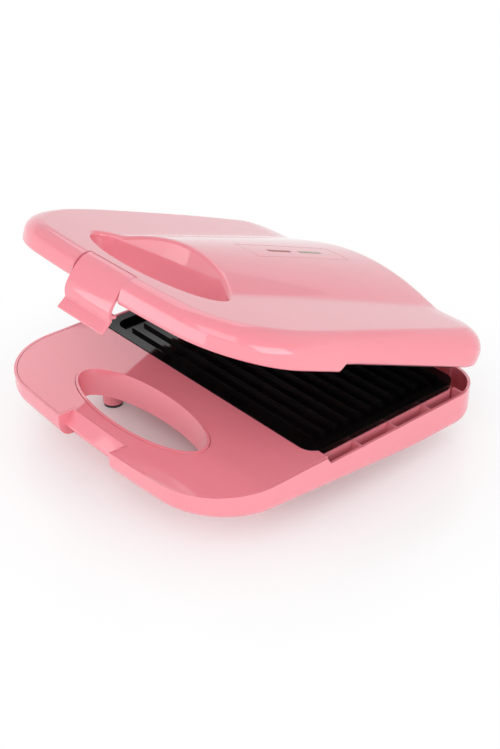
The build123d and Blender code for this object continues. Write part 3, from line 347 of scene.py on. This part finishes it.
NODE_MATERIALS = {
    PINK: ["base_shell", "deck_cover", "lid_shell", "lid_frame", "indicator_panel", "latch"],
    NONSTICK: ["lower_plate", "upper_plate"],
    RUBBER: ["foot_pads", "cord_gland"],
    ZINC: ["lower_heater_clamps", "upper_heater_clamps", "lower_clamp_screws", "upper_clamp_screws",
           "lower_plate_screws", "upper_plate_screws", "deck_screws", "lid_frame_screws",
           "lamp_holder_screws", "thermostat_screws", "lower_heat_shield", "upper_heat_shield",
           "thermal_fuse", "fuse_clip"],
    HEATER: ["lower_heater", "upper_heater"],
    PIN: ["hinge_pins", "latch_pin"],
    BRASS: ["terminal_screws"],
    CREAM: ["thermostat", "terminal_block", "lamp_holder"],
    SLEEVE: ["base_wiring", "lid_wiring"],
    RED_LENS: ["power_lens"],
    GREEN_LENS: ["ready_lens"],
    LAMP_GLASS: ["power_lamp", "ready_lamp"],
}
for material, nodes in NODE_MATERIALS.items():
    for node in nodes:
        slots = frame["nodes"][node].data.materials
        slots.clear()
        slots.append(material)


# Lid, shaped closed in millimetres with the hinge line at the rear rim, then opened

REAR_EDGE = 118.5
FRONT_EDGE = -118.5
SIDE_EDGE = 120.0
LID_BOW = 9.6
LID_FRONT_CORNER = 56.5
LID_REAR_CORNER = 28.0
LID_BULGE = 3.0
LID_WALL = 1.9
LID_REAR = 114.0
RIM_BOTTOM = 44.9
LOW_RIM_BOTTOM = 49.7
RIM_STEP = (-37.5, -34.0)
RIM_DRAFT = 0.15

# How many stations each stretch of the outline has
BOW_STEPS = 40
FRONT_CORNER_STEPS = 48
SIDE_STEPS = (16, 4, 44)
REAR_CORNER_STEPS = 24
REAR_STEPS = 36

# The crowned top, which drops towards the rear, and the dome behind the grip
TOP_HEIGHT = 69.9
TOP_SLOPE = 0.0521
TOP_CROWN = 0.0000906
REAR_FALL = 1.7
REAR_FALL_RUN = (86, 115)
DOME_RISE = 11.3
DOME_HALF_WIDTH = 54.5
DOME_SPREAD = 0.105
DOME_FRONT = -62
DOME_RUN = (-104, -74)
DOME_BLEND = 1.1
DOME_SINK = 0.05

# The rounded edge: how far in it begins, how high its widest line lies and how it turns under
CREASE_TURN = math.radians(74)
CREASE_INSET = 6.1
CREASE_SIDE_GROWTH = 1.5
CREASE_CORNER_GROWTH = 4.0
CREASE_REAR_GROWTH = 3.2
BELLY_HEIGHT = 52.6
BELLY_SIDE_RISE = 2.6
BELLY_REAR_RISE = 3.4
UNDER_RADIUS = 2.6
UNDER_RADIUS_GROWTH = 1.2

# Where these sizes change, from front to back, and for the corners also outwards from the middle
CREASE_SIDE_RUN = (-110, -60)
CREASE_REAR_RUN = (30, 112)
CORNER_START_RUN = (-132, -92)
CORNER_END_RUN = (-92, -48)
CORNER_OUTWARD_RUN = (40, 100)
BELLY_SIDE_RUN = (-110, -40)
BELLY_REAR_RUN = (20, 110)
UNDER_RADIUS_RUN = (-36, -20)

# The notch that the latch sits in
NOTCH_HALF_WIDTH = 23.5
NOTCH_SEAM = -120.1
NOTCH_REAR = -113.4
NOTCH_FLOOR = 47.4
NOTCH_WALL = 1.5
NOTCH_CEILING_TOP = 1.2
NOTCH_CEILING_DEPTH = 0.9
NOTCH_CHEEK_FOOT = 1.0
NOTCH_SKIN_INSET = 0.25
NOTCH_SKIN_DROP = 0.15

# The grip's oval at the top, at the foot of its wall and where its ring ends
OVAL_TOP = {"half_length": 62.0, "half_width": 23.4, "centre": -86.6}
OVAL_BOTTOM = {"half_length": 62.5, "half_width": 21.2, "centre": -87.9}
OVAL_FOOT = {"half_length": 64.0, "half_width": 23.5, "centre": -83.7}
OVAL_LIP = 2.6
OVAL_WALL_FOOT = 46.2
OVAL_FOOT_HEIGHTS = (46.3, 47.6)
OVAL_FOOT_STEPS = 96

# Indicator panel and lenses
PANEL_HALF_WIDTH = 11.5
PANEL_FRONT = -15.0
PANEL_REAR = 72.5
PANEL_GAP = 0.45
PANEL_THICKNESS = 1.2
PANEL_SINK = 0.05
LENS_GAP = 0.3
LENS_CENTRES = {"power_lens": 15.2, "ready_lens": 45.0}
LENS_LENGTH = 22.0
LENS_WIDTH = 3.8

# Latch, and the hinge's knuckles with the side view of their arms, set out from the hinge line
LATCH_HALF_WIDTH = 22.6
LATCH_PIVOT = (-118.3, 57.0)
LATCH_THICKNESS = 2.3
LATCH_BARREL_RADIUS = 3.0
LATCH_SIDE_STEP = 0.4
HINGE_LINE = (REAR_EDGE, 44.5)
KNUCKLE = (72.0, 84.0)
KNUCKLE_RADIUS = 4.3
KNUCKLE_BORE = 1.95
KNUCKLE_ARM = [(-3.2, 46.8), (-3.2, 56.0), (-1.9, 56.0), (-1.6, 49.0), (0.6, 48.1), (-0.4, 46.9)]


def share_of(low, high, value):
    """How far a value has come from low to high, from 0 to 1."""
    return min(max((value - low) / (high - low), 0.0), 1.0)


def smooth_step(low, high, value):
    """The same share with a soft start and end."""
    share = share_of(low, high, value)
    return share * share * (3 - 2 * share)


def placed(x, y, z):
    """A point of the closed lid, in millimetres, as the open lid has it in the row frame."""
    return OPENING @ Vector((x * MM, y * MM + HINGE_POINT.y - REAR_EDGE * MM, z * MM))


def lid_outline():
    """Stations around the closed lid seen from above, each with its place and outward direction."""
    bow_radius = (SIDE_EDGE ** 2 + LID_BOW ** 2) / (2 * LID_BOW)
    bow_centre = FRONT_EDGE - LID_BOW + bow_radius
    corner_x = SIDE_EDGE - LID_FRONT_CORNER
    corner_y = bow_centre - math.sqrt((bow_radius - LID_FRONT_CORNER) ** 2 - corner_x ** 2)
    turn_end = math.atan2(corner_x, bow_centre - corner_y)
    half = []
    for step in range(BOW_STEPS + 1):
        turn = turn_end * step / BOW_STEPS
        way = Vector((math.sin(turn), -math.cos(turn)))
        half.append((Vector((0, bow_centre)) + bow_radius * way, way))
    for step in range(1, FRONT_CORNER_STEPS + 1):
        turn = turn_end + (math.pi / 2 - turn_end) * step / FRONT_CORNER_STEPS
        way = Vector((math.sin(turn), -math.cos(turn)))
        half.append((Vector((corner_x, corner_y)) + LID_FRONT_CORNER * way, way))
    rear_start = LID_REAR - LID_REAR_CORNER
    stops = [corner_y, *RIM_STEP, rear_start]
    for start, end, count in zip(stops, stops[1:], SIDE_STEPS):
        for step in range(1, count + 1):
            half.append((Vector((SIDE_EDGE, start + (end - start) * step / count)), Vector((1, 0))))
    rear_corner_x = SIDE_EDGE - LID_REAR_CORNER
    for step in range(1, REAR_CORNER_STEPS + 1):
        turn = math.pi / 2 * step / REAR_CORNER_STEPS
        way = Vector((math.cos(turn), math.sin(turn)))
        half.append((Vector((rear_corner_x, rear_start)) + LID_REAR_CORNER * way, way))
    for step in range(1, REAR_STEPS + 1):
        half.append((Vector((rear_corner_x * (1 - step / REAR_STEPS), LID_REAR)), Vector((0, 1))))
    other_half = []
    for place, way in reversed(half[1:-1]):
        other_half.append((Vector((-place.x, place.y)), Vector((-way.x, way.y))))
    return half + other_half


def rear_fall(y):
    """How far the top drops as it nears the rear."""
    return REAR_FALL * smooth_step(*REAR_FALL_RUN, y)


def panel_height(y):
    """Height of the lid's gently crowned top."""
    return TOP_HEIGHT + TOP_SLOPE * y - TOP_CROWN * y * y - rear_fall(y)


def lid_height(x, y):
    """Height of the lid's top with the dome behind the grip blended into it."""
    rise = DOME_RISE + rear_fall(y)
    half_width = DOME_HALF_WIDTH + DOME_SPREAD * (y - DOME_FRONT)
    dome = rise * (1 - (x / half_width) ** 2)
    dome = (dome + math.sqrt(dome * dome + DOME_BLEND * DOME_BLEND)) / 2 - DOME_SINK
    return panel_height(y) + max(dome, 0) * smooth_step(*DOME_RUN, y)


def crease_inset(place):
    """How far in from the outline the lid's rounded edge begins: more at the front corners and the rear."""
    side = smooth_step(*CREASE_SIDE_RUN, place.y)
    rear = smooth_step(*CREASE_REAR_RUN, place.y)
    corner = smooth_step(*CORNER_START_RUN, place.y) * (1 - smooth_step(*CORNER_END_RUN, place.y))
    corner *= smooth_step(*CORNER_OUTWARD_RUN, abs(place.x))
    return (CREASE_INSET + CREASE_SIDE_GROWTH * side + CREASE_CORNER_GROWTH * corner
            + CREASE_REAR_GROWTH * rear)


def rim_bottom(y):
    """Height of the rim's lower edge, which steps up beside the plates."""
    return RIM_BOTTOM + (LOW_RIM_BOTTOM - RIM_BOTTOM) * share_of(*RIM_STEP, y)


def edge_section(place, way):
    """The lid's rounded edge at a station, from under the rim up to the crease of its top."""
    inset = crease_inset(place)
    crease = place - way * inset
    crease_z = lid_height(crease.x, crease.y)
    bottom = rim_bottom(place.y)
    belly = BELLY_HEIGHT + BELLY_SIDE_RISE * smooth_step(*BELLY_SIDE_RUN, place.y)
    belly += BELLY_REAR_RISE * smooth_step(*BELLY_REAR_RUN, place.y)
    under_radius = UNDER_RADIUS + UNDER_RADIUS_GROWTH * smooth_step(*UNDER_RADIUS_RUN, place.y)
    points = []
    under_steps = 6
    for step in range(under_steps + 1):
        turn = math.pi / 2 * (step / under_steps - 1)
        out = LID_BULGE - RIM_DRAFT - under_radius * (1 - math.cos(turn))
        points.append((out, bottom + under_radius * (1 + math.sin(turn))))
    start = bottom + under_radius
    wall_steps = 4
    for step in range(1, wall_steps):
        share = step / wall_steps
        points.append((LID_BULGE - RIM_DRAFT * (1 - share) ** 2, start + (belly - start) * share))
    reach = (inset + LID_BULGE) / (1 - math.cos(CREASE_TURN))
    tall = (crease_z - belly) / math.sin(CREASE_TURN)
    round_steps = 14
    for step in range(round_steps + 1):
        turn = CREASE_TURN * step / round_steps
        points.append((LID_BULGE - reach * (1 - math.cos(turn)), belly + tall * math.sin(turn)))
    return [(place + way * out, z) for out, z in points]


def oval_point(oval, angle, grow=0.0):
    """A point of one of the grip's ovals, or of a larger one around it."""
    x = (oval["half_length"] + grow) * math.cos(angle)
    y = oval["centre"] + (oval["half_width"] + grow) * math.sin(angle)
    return Vector((x, y))


def station_angle(place):
    """The turn around the grip's oval at which a station's line ends."""
    return math.atan2(place.y - OVAL_TOP["centre"], place.x)


def top_section(place, way):
    """From the crease over the top to the oval, over its lip and down its wall."""
    crease = place - way * crease_inset(place)
    angle = station_angle(place)
    lip = oval_point(OVAL_TOP, angle, OVAL_LIP)
    points = []
    top_steps, lip_steps, wall_steps = 62, 6, 5
    for step in range(1, top_steps + 1):
        spot = crease.lerp(lip, step / top_steps)
        points.append((spot, lid_height(spot.x, spot.y)))
    lip_z = points[-1][1]
    for step in range(1, lip_steps + 1):
        turn = math.pi / 2 * step / lip_steps
        spot = oval_point(OVAL_TOP, angle, OVAL_LIP * (1 - math.sin(turn)))
        points.append((spot, lip_z - OVAL_LIP * (1 - math.cos(turn))))
    inner = oval_point(OVAL_TOP, angle)
    bottom = oval_point(OVAL_BOTTOM, angle)
    wall_top = lip_z - OVAL_LIP
    for step in range(1, wall_steps + 1):
        share = step / wall_steps
        points.append((inner.lerp(bottom, share), wall_top + (OVAL_WALL_FOOT - wall_top) * share))
    return points


def make_lid_skin():
    """The lid's moulding: rounded edge, crowned top with its dome, and the oval tube of the grip."""
    stations = lid_outline()
    sections = [edge_section(place, way) + top_section(place, way) for place, way in stations]
    rows = len(sections[0])
    points = [(spot.x, spot.y, z) for section in sections for spot, z in section]
    faces = []
    for index in range(len(sections)):
        here = index * rows
        beyond = (index + 1) % len(sections) * rows
        for row in range(rows - 1):
            faces.append((here + row, beyond + row, beyond + row + 1, here + row + 1))
    mesh = raw_mesh("lid_moulding", points, faces)
    work = bmesh.new()
    work.from_mesh(mesh)
    cut_notch(work)
    cut_window(work, PANEL_HALF_WIDTH + PANEL_GAP, PANEL_FRONT - PANEL_GAP, PANEL_REAR + PANEL_GAP)
    for vertex in work.verts:
        vertex.co = placed(*vertex.co)
    bmesh.ops.recalc_face_normals(work, faces=work.faces)
    work.to_mesh(mesh)
    work.free()
    lid = new_object("lid_moulding", mesh)
    shell = lid.modifiers.new("wall", "SOLIDIFY")
    shell.thickness = LID_WALL * MM
    shell.offset = -1
    shell.use_even_offset = True
    apply_modifiers(lid)
    smooth(lid, angle=30)
    lid.data.materials.append(PINK)
    return lid


def split_along(work, low_y, high_y, place, way):
    """Cuts the faces between two places from front to back along a plane."""
    faces = [face for face in work.faces if low_y < face.calc_center_median().y < high_y]
    edges = {edge for face in faces for edge in face.edges}
    corners = {corner for face in faces for corner in face.verts}
    geometry = [*corners, *edges, *faces]
    bmesh.ops.bisect_plane(work, geom=geometry, dist=0.0001, plane_co=place, plane_no=way)


def cut_notch(work):
    """Takes out the place of the latch in the front edge."""
    ahead = FRONT_EDGE - 2 * LID_BOW
    past_seam = NOTCH_SEAM + 4
    for place, way in (((NOTCH_HALF_WIDTH, 0, 0), (1, 0, 0)), ((-NOTCH_HALF_WIDTH, 0, 0), (1, 0, 0)),
                       ((0, NOTCH_SEAM, 0), (0, 1, 0))):
        split_along(work, ahead, past_seam, place, way)
    inside = [face for face in work.faces if abs(face.calc_center_median().x) < NOTCH_HALF_WIDTH
              and face.calc_center_median().y < NOTCH_SEAM]
    bmesh.ops.delete(work, geom=inside, context="FACES")


def cut_window(work, half_width, front, rear):
    """Takes out the window of the indicator panel in the dome."""
    margin = 8
    above_all_walls = 60
    for place, way in (((half_width, 0, 0), (1, 0, 0)), ((-half_width, 0, 0), (1, 0, 0)),
                       ((0, front, 0), (0, 1, 0)), ((0, rear, 0), (0, 1, 0))):
        split_along(work, front - margin, rear + margin, place, way)
    inside = []
    for face in work.faces:
        middle = face.calc_center_median()
        if abs(middle.x) < half_width and front < middle.y < rear and middle.z > above_all_walls:
            inside.append(face)
    bmesh.ops.delete(work, geom=inside, context="FACES")


# Indicator panel and its two lenses

def slot_points(centre, length, width):
    """An upright slot with round ends, seen from above."""
    reach = (length - width) / 2
    end_steps = 10
    points = []
    for side in (1, -1):
        for step in range(end_steps + 1):
            turn = math.pi * step / end_steps + (0 if side > 0 else math.pi)
            points.append((width / 2 * math.cos(turn), centre + side * reach + width / 2 * math.sin(turn)))
    return points


def prism(name, outline, low, high):
    """An upright prism of the closed lid, still in millimetres."""
    count = len(outline)
    points = [(x, y, low) for x, y in outline] + [(x, y, high) for x, y in outline]
    faces = [tuple(reversed(range(count))), tuple(range(count, 2 * count)), *band(0, count, count)]
    return new_object(name, raw_mesh(name, points, faces))


def make_indicator_panel():
    """The strip set flush into the dome's crest, with slots for the lenses."""
    columns, rows = 12, 46
    points = []
    for row in range(rows + 1):
        y = PANEL_FRONT + (PANEL_REAR - PANEL_FRONT) * row / rows
        for column in range(columns + 1):
            x = PANEL_HALF_WIDTH * (2 * column / columns - 1)
            points.append((x, y, lid_height(x, y) - PANEL_SINK))
    faces = []
    for row in range(rows):
        for column in range(columns):
            first = row * (columns + 1) + column
            faces.append((first, first + 1, first + columns + 2, first + columns + 1))
    strip = new_object("panel_strip", raw_mesh("panel_strip", points, faces))
    body = strip.modifiers.new("body", "SOLIDIFY")
    body.thickness = PANEL_THICKNESS
    body.offset = -1
    apply_modifiers(strip)
    for centre in LENS_CENTRES.values():
        outline = slot_points(centre, LENS_LENGTH + LENS_GAP, LENS_WIDTH + LENS_GAP)
        cutter = prism("slot", outline, low=60, high=100)
        cut = strip.modifiers.new("slot", "BOOLEAN")
        cut.object = cutter
        cut.solver = "EXACT"
        apply_modifiers(strip)
        bpy.data.objects.remove(cutter)
    for vertex in strip.data.vertices:
        vertex.co = placed(*vertex.co)
    round_edges(strip, width=0.25, angle=40)
    strip.data.materials.clear()
    strip.data.materials.append(PINK)
    return strip


def make_lens_cap(name, centre):
    """A lens with round ends and a softly domed top that follows the dome."""
    insets_and_lifts = [(0.0, -4.6), (0.0, -0.25), (0.12, 0.0), (0.4, 0.14), (0.9, 0.22), (1.5, 0.25)]
    points = []
    for inset, lift in insets_and_lifts:
        for x, y in slot_points(centre, LENS_LENGTH - 2 * inset, LENS_WIDTH - 2 * inset):
            points.append((x, y, lid_height(x, y) + lift))
    count = len(points) // len(insets_and_lifts)
    faces = []
    for ring in range(len(insets_and_lifts) - 1):
        faces += band(ring * count, (ring + 1) * count, count)
    faces.append(tuple(range(len(points) - count, len(points))))
    faces.append(tuple(reversed(range(count))))
    lens = mesh_from(name, [placed(*point) for point in points], faces)
    smooth(lens, angle=50)
    return lens


# Latch

# Side views of the closed latch: its outer face from the top edge down to the bend above the lip,
# the end of the finger lip, the hook behind it and the web that carries the barrel
LATCH_FACE = [(-120.75, 62.05), (-122.6, 61.75), (-124.9, 60.4), (-127.4, 58.1), (-129.9, 53.6),
              (-131.4, 49.4), (-132.8, 44.9), (-133.5, 41.4), (-133.5, 38.4), (-132.8, 35.6),
              (-131.4, 32.6)]
LATCH_TIP = [(-135.2, 26.0), (-134.6, 25.2), (-133.4, 25.0)]
LATCH_HOOK = [(-131.6, 37.3), (-126.8, 37.3), (-126.8, 35.6), (-131.0, 34.6)]
LATCH_WEB = [(-118.3, 59.4), (-123.4, 58.8), (-127.4, 54.4), (-118.3, 54.6)]


def smooth_line(points):
    """An even curve through the points, bent at each as its neighbours ask."""
    steps = 6
    line = []
    for index in range(len(points) - 1):
        before = Vector(points[max(index - 1, 0)])
        start = Vector(points[index])
        end = Vector(points[index + 1])
        after = Vector(points[min(index + 2, len(points) - 1)])
        for step in range(steps):
            t = step / steps
            lean = end - before
            bend = 2 * before - 5 * start + 4 * end - after
            twist = 3 * start - before - 3 * end + after
            line.append(0.5 * (2 * start + lean * t + bend * t * t + twist * t ** 3))
    line.append(Vector(points[-1]))
    return line


def inwards(line, distance):
    """The same line moved towards its inner side."""
    moved = []
    for index, point in enumerate(line):
        run = line[min(index + 1, len(line) - 1)] - line[max(index - 1, 0)]
        run.normalize()
        moved.append(point + Vector((-run.y, run.x)) * distance)
    return moved


def extrude_across(name, outline, low_x, high_x):
    """A side view made into a bar from one side to the other, on the open lid."""
    count = len(outline)
    points = [placed(x, y, z) for x in (low_x, high_x) for y, z in outline]
    faces = [tuple(range(count)), tuple(reversed(range(count, 2 * count))), *band(0, count, count)]
    return mesh_from(name, points, faces)


def make_latch():
    """The curved cover with its finger lip, hook and barrel."""
    outer = smooth_line(LATCH_FACE)
    inner = inwards(outer, LATCH_THICKNESS)
    side_view = [*outer, *LATCH_TIP, *reversed(inner)]
    cover = extrude_across("latch_cover", side_view, -LATCH_HALF_WIDTH, LATCH_HALF_WIDTH)
    inside = LATCH_HALF_WIDTH - LATCH_SIDE_STEP
    hook = extrude_across("latch_hook", LATCH_HOOK, -inside, inside)
    web = extrude_across("latch_web", LATCH_WEB, -inside, inside)
    barrel = extrude_across("latch_barrel", round_bar(LATCH_PIVOT, LATCH_BARREL_RADIUS), -inside, inside)
    latch = joined([cover, hook, web, barrel])
    round_edges(latch, width=0.5, angle=34, segments=3)
    latch.data.materials.append(PINK)
    return latch


def round_bar(centre, radius):
    """Side view of a round bar."""
    count = 32
    turns = [2 * math.pi * step / count for step in range(count)]
    return [(centre[0] + radius * math.cos(turn), centre[1] + radius * math.sin(turn)) for turn in turns]


def make_lid_knuckle(side):
    """A barrel on the hinge pin with the arm that carries it, bored for the pin."""
    low_x, high_x = sorted((side * KNUCKLE[0], side * KNUCKLE[1]))
    bore = round_bar(HINGE_LINE, KNUCKLE_BORE)
    ring = round_bar(HINGE_LINE, KNUCKLE_RADIUS)
    points = [placed(x, y, z) for x in (low_x, high_x) for y, z in (*ring, *bore)]
    count = len(ring)
    near_ring, near_bore, far_ring, far_bore = (block * count for block in range(4))
    ends = [*band(near_ring, near_bore, count), *band(far_ring, far_bore, count)]
    walls = [*band(near_ring, far_ring, count), *band(near_bore, far_bore, count)]
    faces = ends + walls
    barrel = mesh_from("knuckle_barrel", points, faces)
    arm = [(HINGE_LINE[0] + reach, height) for reach, height in KNUCKLE_ARM]
    return joined([barrel, extrude_across("knuckle_arm", arm, low_x, high_x)])


def make_notch_walls():
    """The pocket that takes the latch's barrel: two cheeks, a rear wall and a ceiling."""
    edge = [(place.y, z) for place, z in notch_edge()]
    top = panel_height(NOTCH_SEAM) - LID_WALL
    reach = NOTCH_HALF_WIDTH + NOTCH_WALL
    cheek = [*edge, (NOTCH_SEAM, top), (NOTCH_REAR, top), (NOTCH_REAR, NOTCH_FLOOR),
             (edge[0][0] + NOTCH_CHEEK_FOOT, NOTCH_FLOOR)]
    cheeks = []
    for side in (-1, 1):
        low_x, high_x = sorted((side * NOTCH_HALF_WIDTH, side * reach))
        cheeks.append(extrude_across("notch_cheek", cheek, low_x, high_x))
    rear_front = NOTCH_REAR - NOTCH_WALL
    rear_wall = [(NOTCH_REAR, NOTCH_FLOOR), (rear_front, NOTCH_FLOOR), (rear_front, top), (NOTCH_REAR, top)]
    rear = extrude_across("notch_rear", rear_wall, -reach, reach)
    above, below = top + NOTCH_CEILING_TOP, top - NOTCH_CEILING_DEPTH
    ceiling_wall = [(NOTCH_REAR, above), (NOTCH_SEAM, above), (NOTCH_SEAM, below), (NOTCH_REAR, below)]
    ceiling = extrude_across("notch_ceiling", ceiling_wall, -reach, reach)
    return joined([*cheeks, rear, ceiling])


def notch_edge():
    """The lid's rounded edge where the latch's notch is cut, a hair inside the skin."""
    front_only = -100
    stations = [(place, way) for place, way in lid_outline() if place.x > 0 and place.y < front_only]
    place, way = min(stations, key=lambda station: abs(station[0].x - NOTCH_HALF_WIDTH))
    section = edge_section(place - way * NOTCH_SKIN_INSET, way)
    return [(spot, z - NOTCH_SKIN_DROP) for spot, z in section if spot.y < NOTCH_SEAM]


def make_grip_foot():
    """The flat ring around the lower end of the grip's tube."""
    count = OVAL_FOOT_STEPS
    turns = [2 * math.pi * step / count for step in range(count)]
    inner = [oval_point(OVAL_BOTTOM, turn, grow=0.4) for turn in turns]
    outer = [oval_point(OVAL_FOOT, turn, grow=1.0) for turn in turns]
    low, high = OVAL_FOOT_HEIGHTS
    rings = [(inner, low), (outer, low), (outer, high), (inner, high)]
    points = [placed(spot.x, spot.y, z) for ring, z in rings for spot in ring]
    faces = []
    for ring in range(len(rings)):
        faces += band(ring * count, (ring + 1) % len(rings) * count, count)
    return mesh_from("grip_foot", points, faces)


def make_lid_moulding():
    """The lid's skin with its knuckles and the latch's pocket."""
    skin = make_lid_skin()
    extras = joined([make_lid_knuckle(-1), make_lid_knuckle(1), make_notch_walls(), make_grip_foot()])
    round_edges(extras, width=0.3, angle=40)
    extras.data.materials.append(PINK)
    return joined_with_shading(skin, extras)


def make_rounded_copy(node, name, material):
    """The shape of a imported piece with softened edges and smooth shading."""
    obj = copy_of_node(node, name)
    round_edges(obj, width=0.5, angle=38)
    obj.data.materials.append(material)
    return obj


stand_for(make_lid_moulding(), "lid_shell", "lid")
stand_for(make_indicator_panel(), "indicator_panel", "lid")
for node, material, slot in (
        ("power_lens", RED_LENS, "red_lens"),
        ("ready_lens", GREEN_LENS, "green_lens")):
    lens = make_lens_cap(node + "_cap", LENS_CENTRES[node])
    lens.data.materials.append(material)
    stand_for(lens, node, "lid")
stand_for(make_latch(), "latch", "latch")
for node, name, material, body, slot in (
        ("base_shell", "base_moulding", PINK, "base", "salmon_plastic"),
        ("deck_cover", "deck_plate", PINK, "base", "salmon_plastic"),
        ("lower_plate", "lower_casting", NONSTICK, "base", "nonstick_plate"),
        ("upper_plate", "upper_casting", NONSTICK, "lid", "nonstick_plate")):
    stand_for(make_rounded_copy(node, name, material), node, body)


# Studio

def make_floor():
    """A pale glossy table that turns plain white away from the part and curves up far off as a backdrop."""
    sides = 48
    steps = 8
    flat_reach = 8.0
    full_reach = 12.0
    rise = 4.0
    points = [(0, 0, 0)]
    for step in range(steps + 1):
        bend = math.pi / 2 * step / steps
        reach = flat_reach + (full_reach - flat_reach) * math.sin(bend)
        height = rise * (1 - math.cos(bend))
        for side in range(sides):
            turn = 2 * math.pi * side / sides
            points.append((reach * math.cos(turn), reach * math.sin(turn), height))
    faces = [(0, 1 + side, 1 + (side + 1) % sides) for side in range(sides)]
    for step in range(steps):
        faces += band(1 + step * sides, 1 + (step + 1) * sides, sides)
    floor = mesh_from("studio_floor", points, faces)
    material, tree, shader = principled("studio_white")
    shader.inputs["Base Color"].default_value = (0.96, 0.96, 0.96, 1)
    shader.inputs["Roughness"].default_value = 0.22
    shader.inputs["Specular IOR Level"].default_value = 0.5
    white = tree.nodes.new("ShaderNodeEmission")
    white.inputs["Strength"].default_value = 1.0
    place = tree.nodes.new("ShaderNodeNewGeometry")
    distance = tree.nodes.new("ShaderNodeVectorMath")
    distance.operation = "LENGTH"
    tree.links.new(place.outputs["Position"], distance.inputs[0])
    reach = tree.nodes.new("ShaderNodeMapRange")
    reach.interpolation_type = "SMOOTHSTEP"
    reach.inputs["From Min"].default_value = 0.03
    reach.inputs["From Max"].default_value = 0.26
    tree.links.new(distance.outputs["Value"], reach.inputs["Value"])
    path = tree.nodes.new("ShaderNodeLightPath")
    seen = tree.nodes.new("ShaderNodeMath")
    seen.operation = "MAXIMUM"
    tree.links.new(path.outputs["Is Camera Ray"], seen.inputs[0])
    tree.links.new(path.outputs["Is Glossy Ray"], seen.inputs[1])
    amount = tree.nodes.new("ShaderNodeMath")
    amount.operation = "MULTIPLY"
    tree.links.new(seen.outputs["Value"], amount.inputs[0])
    tree.links.new(reach.outputs["Result"], amount.inputs[1])
    mix = tree.nodes.new("ShaderNodeMixShader")
    tree.links.new(amount.outputs["Value"], mix.inputs["Fac"])
    tree.links.new(shader.outputs["BSDF"], mix.inputs[1])
    tree.links.new(white.outputs["Emission"], mix.inputs[2])
    tree.links.new(mix.outputs["Shader"], tree.nodes["Material Output"].inputs["Surface"])
    floor.data.materials.append(material)


def make_lamp(name, place, size, power, aim=(0, 0, 0.05)):
    """A soft rectangular lamp turned towards the point it is aimed at."""
    light = bpy.data.lights.new(name, "AREA")
    light.shape = "RECTANGLE"
    light.size, light.size_y = size
    light.energy = power
    lamp = bpy.data.objects.new(name, light)
    lamp.location = place
    lamp.rotation_euler = (Vector(aim) - Vector(place)).to_track_quat("-Z", "Y").to_euler()
    bpy.context.scene.collection.objects.link(lamp)


def make_world():
    """A pale room with a white backdrop behind the part and a greyer side towards the front."""
    world = bpy.data.worlds.new("studio")
    world.use_nodes = True
    tree = world.node_tree
    background = tree.nodes["Background"]
    place = tree.nodes.new("ShaderNodeTexCoord")
    facing = tree.nodes.new("ShaderNodeVectorMath")
    facing.operation = "DOT_PRODUCT"
    towards_backdrop = (-0.58, 0.80, 0.12)
    facing.inputs[1].default_value = towards_backdrop
    tree.links.new(place.outputs["Generated"], facing.inputs[0])
    front_grey = (0.58, 0.58, 0.59)
    back_white = (0.77, 0.77, 0.78)
    shade = blend_colours(tree, facing.outputs["Value"], front_grey, back_white, low_at=0.30, high_at=0.66)
    tree.links.new(shade, background.inputs["Color"])
    background.inputs["Strength"].default_value = 1.0
    bpy.context.scene.world = world


def make_camera():
    """The photograph's camera: distance, height and turn worked out from the housing's edges."""
    right_of_middle = 589.7 * MM
    ahead_of_hinge = 619.9 * MM
    height = 506.3 * MM
    turn = math.radians(48.97)
    rise = math.radians(31.2)
    data = bpy.data.cameras.new("camera")
    data.sensor_width = 36.0
    data.lens = 64.06
    camera = bpy.data.objects.new("camera", data)
    back = Vector((math.sin(turn) * math.cos(rise), -math.cos(turn) * math.cos(rise), math.sin(rise)))
    camera.location = Vector((right_of_middle, HINGE_POINT.y - ahead_of_hinge, height))
    camera.rotation_mode = "QUATERNION"
    camera.rotation_quaternion = (-back).to_track_quat("-Z", "Y")
    bpy.context.scene.collection.objects.link(camera)
    bpy.context.scene.camera = camera


make_world()
make_camera()
make_floor()
make_lamp("front_low", place=(-0.25, -0.95, 0.31), size=(1.15, 0.56), power=3.3, aim=(0, 0, 0.12))
make_lamp("front_high", place=(0.55, -0.95, 1.25), size=(1.2, 1.0), power=6.0)
make_lamp("rear_left", place=(-0.8, 0.70, 1.0), size=(0.9, 0.7), power=1.5)
make_lamp("right_box", place=(1.3, 0.0, 0.42), size=(1.0, 0.8), power=7.0)

bpy.context.scene.view_settings.view_transform = "Standard"
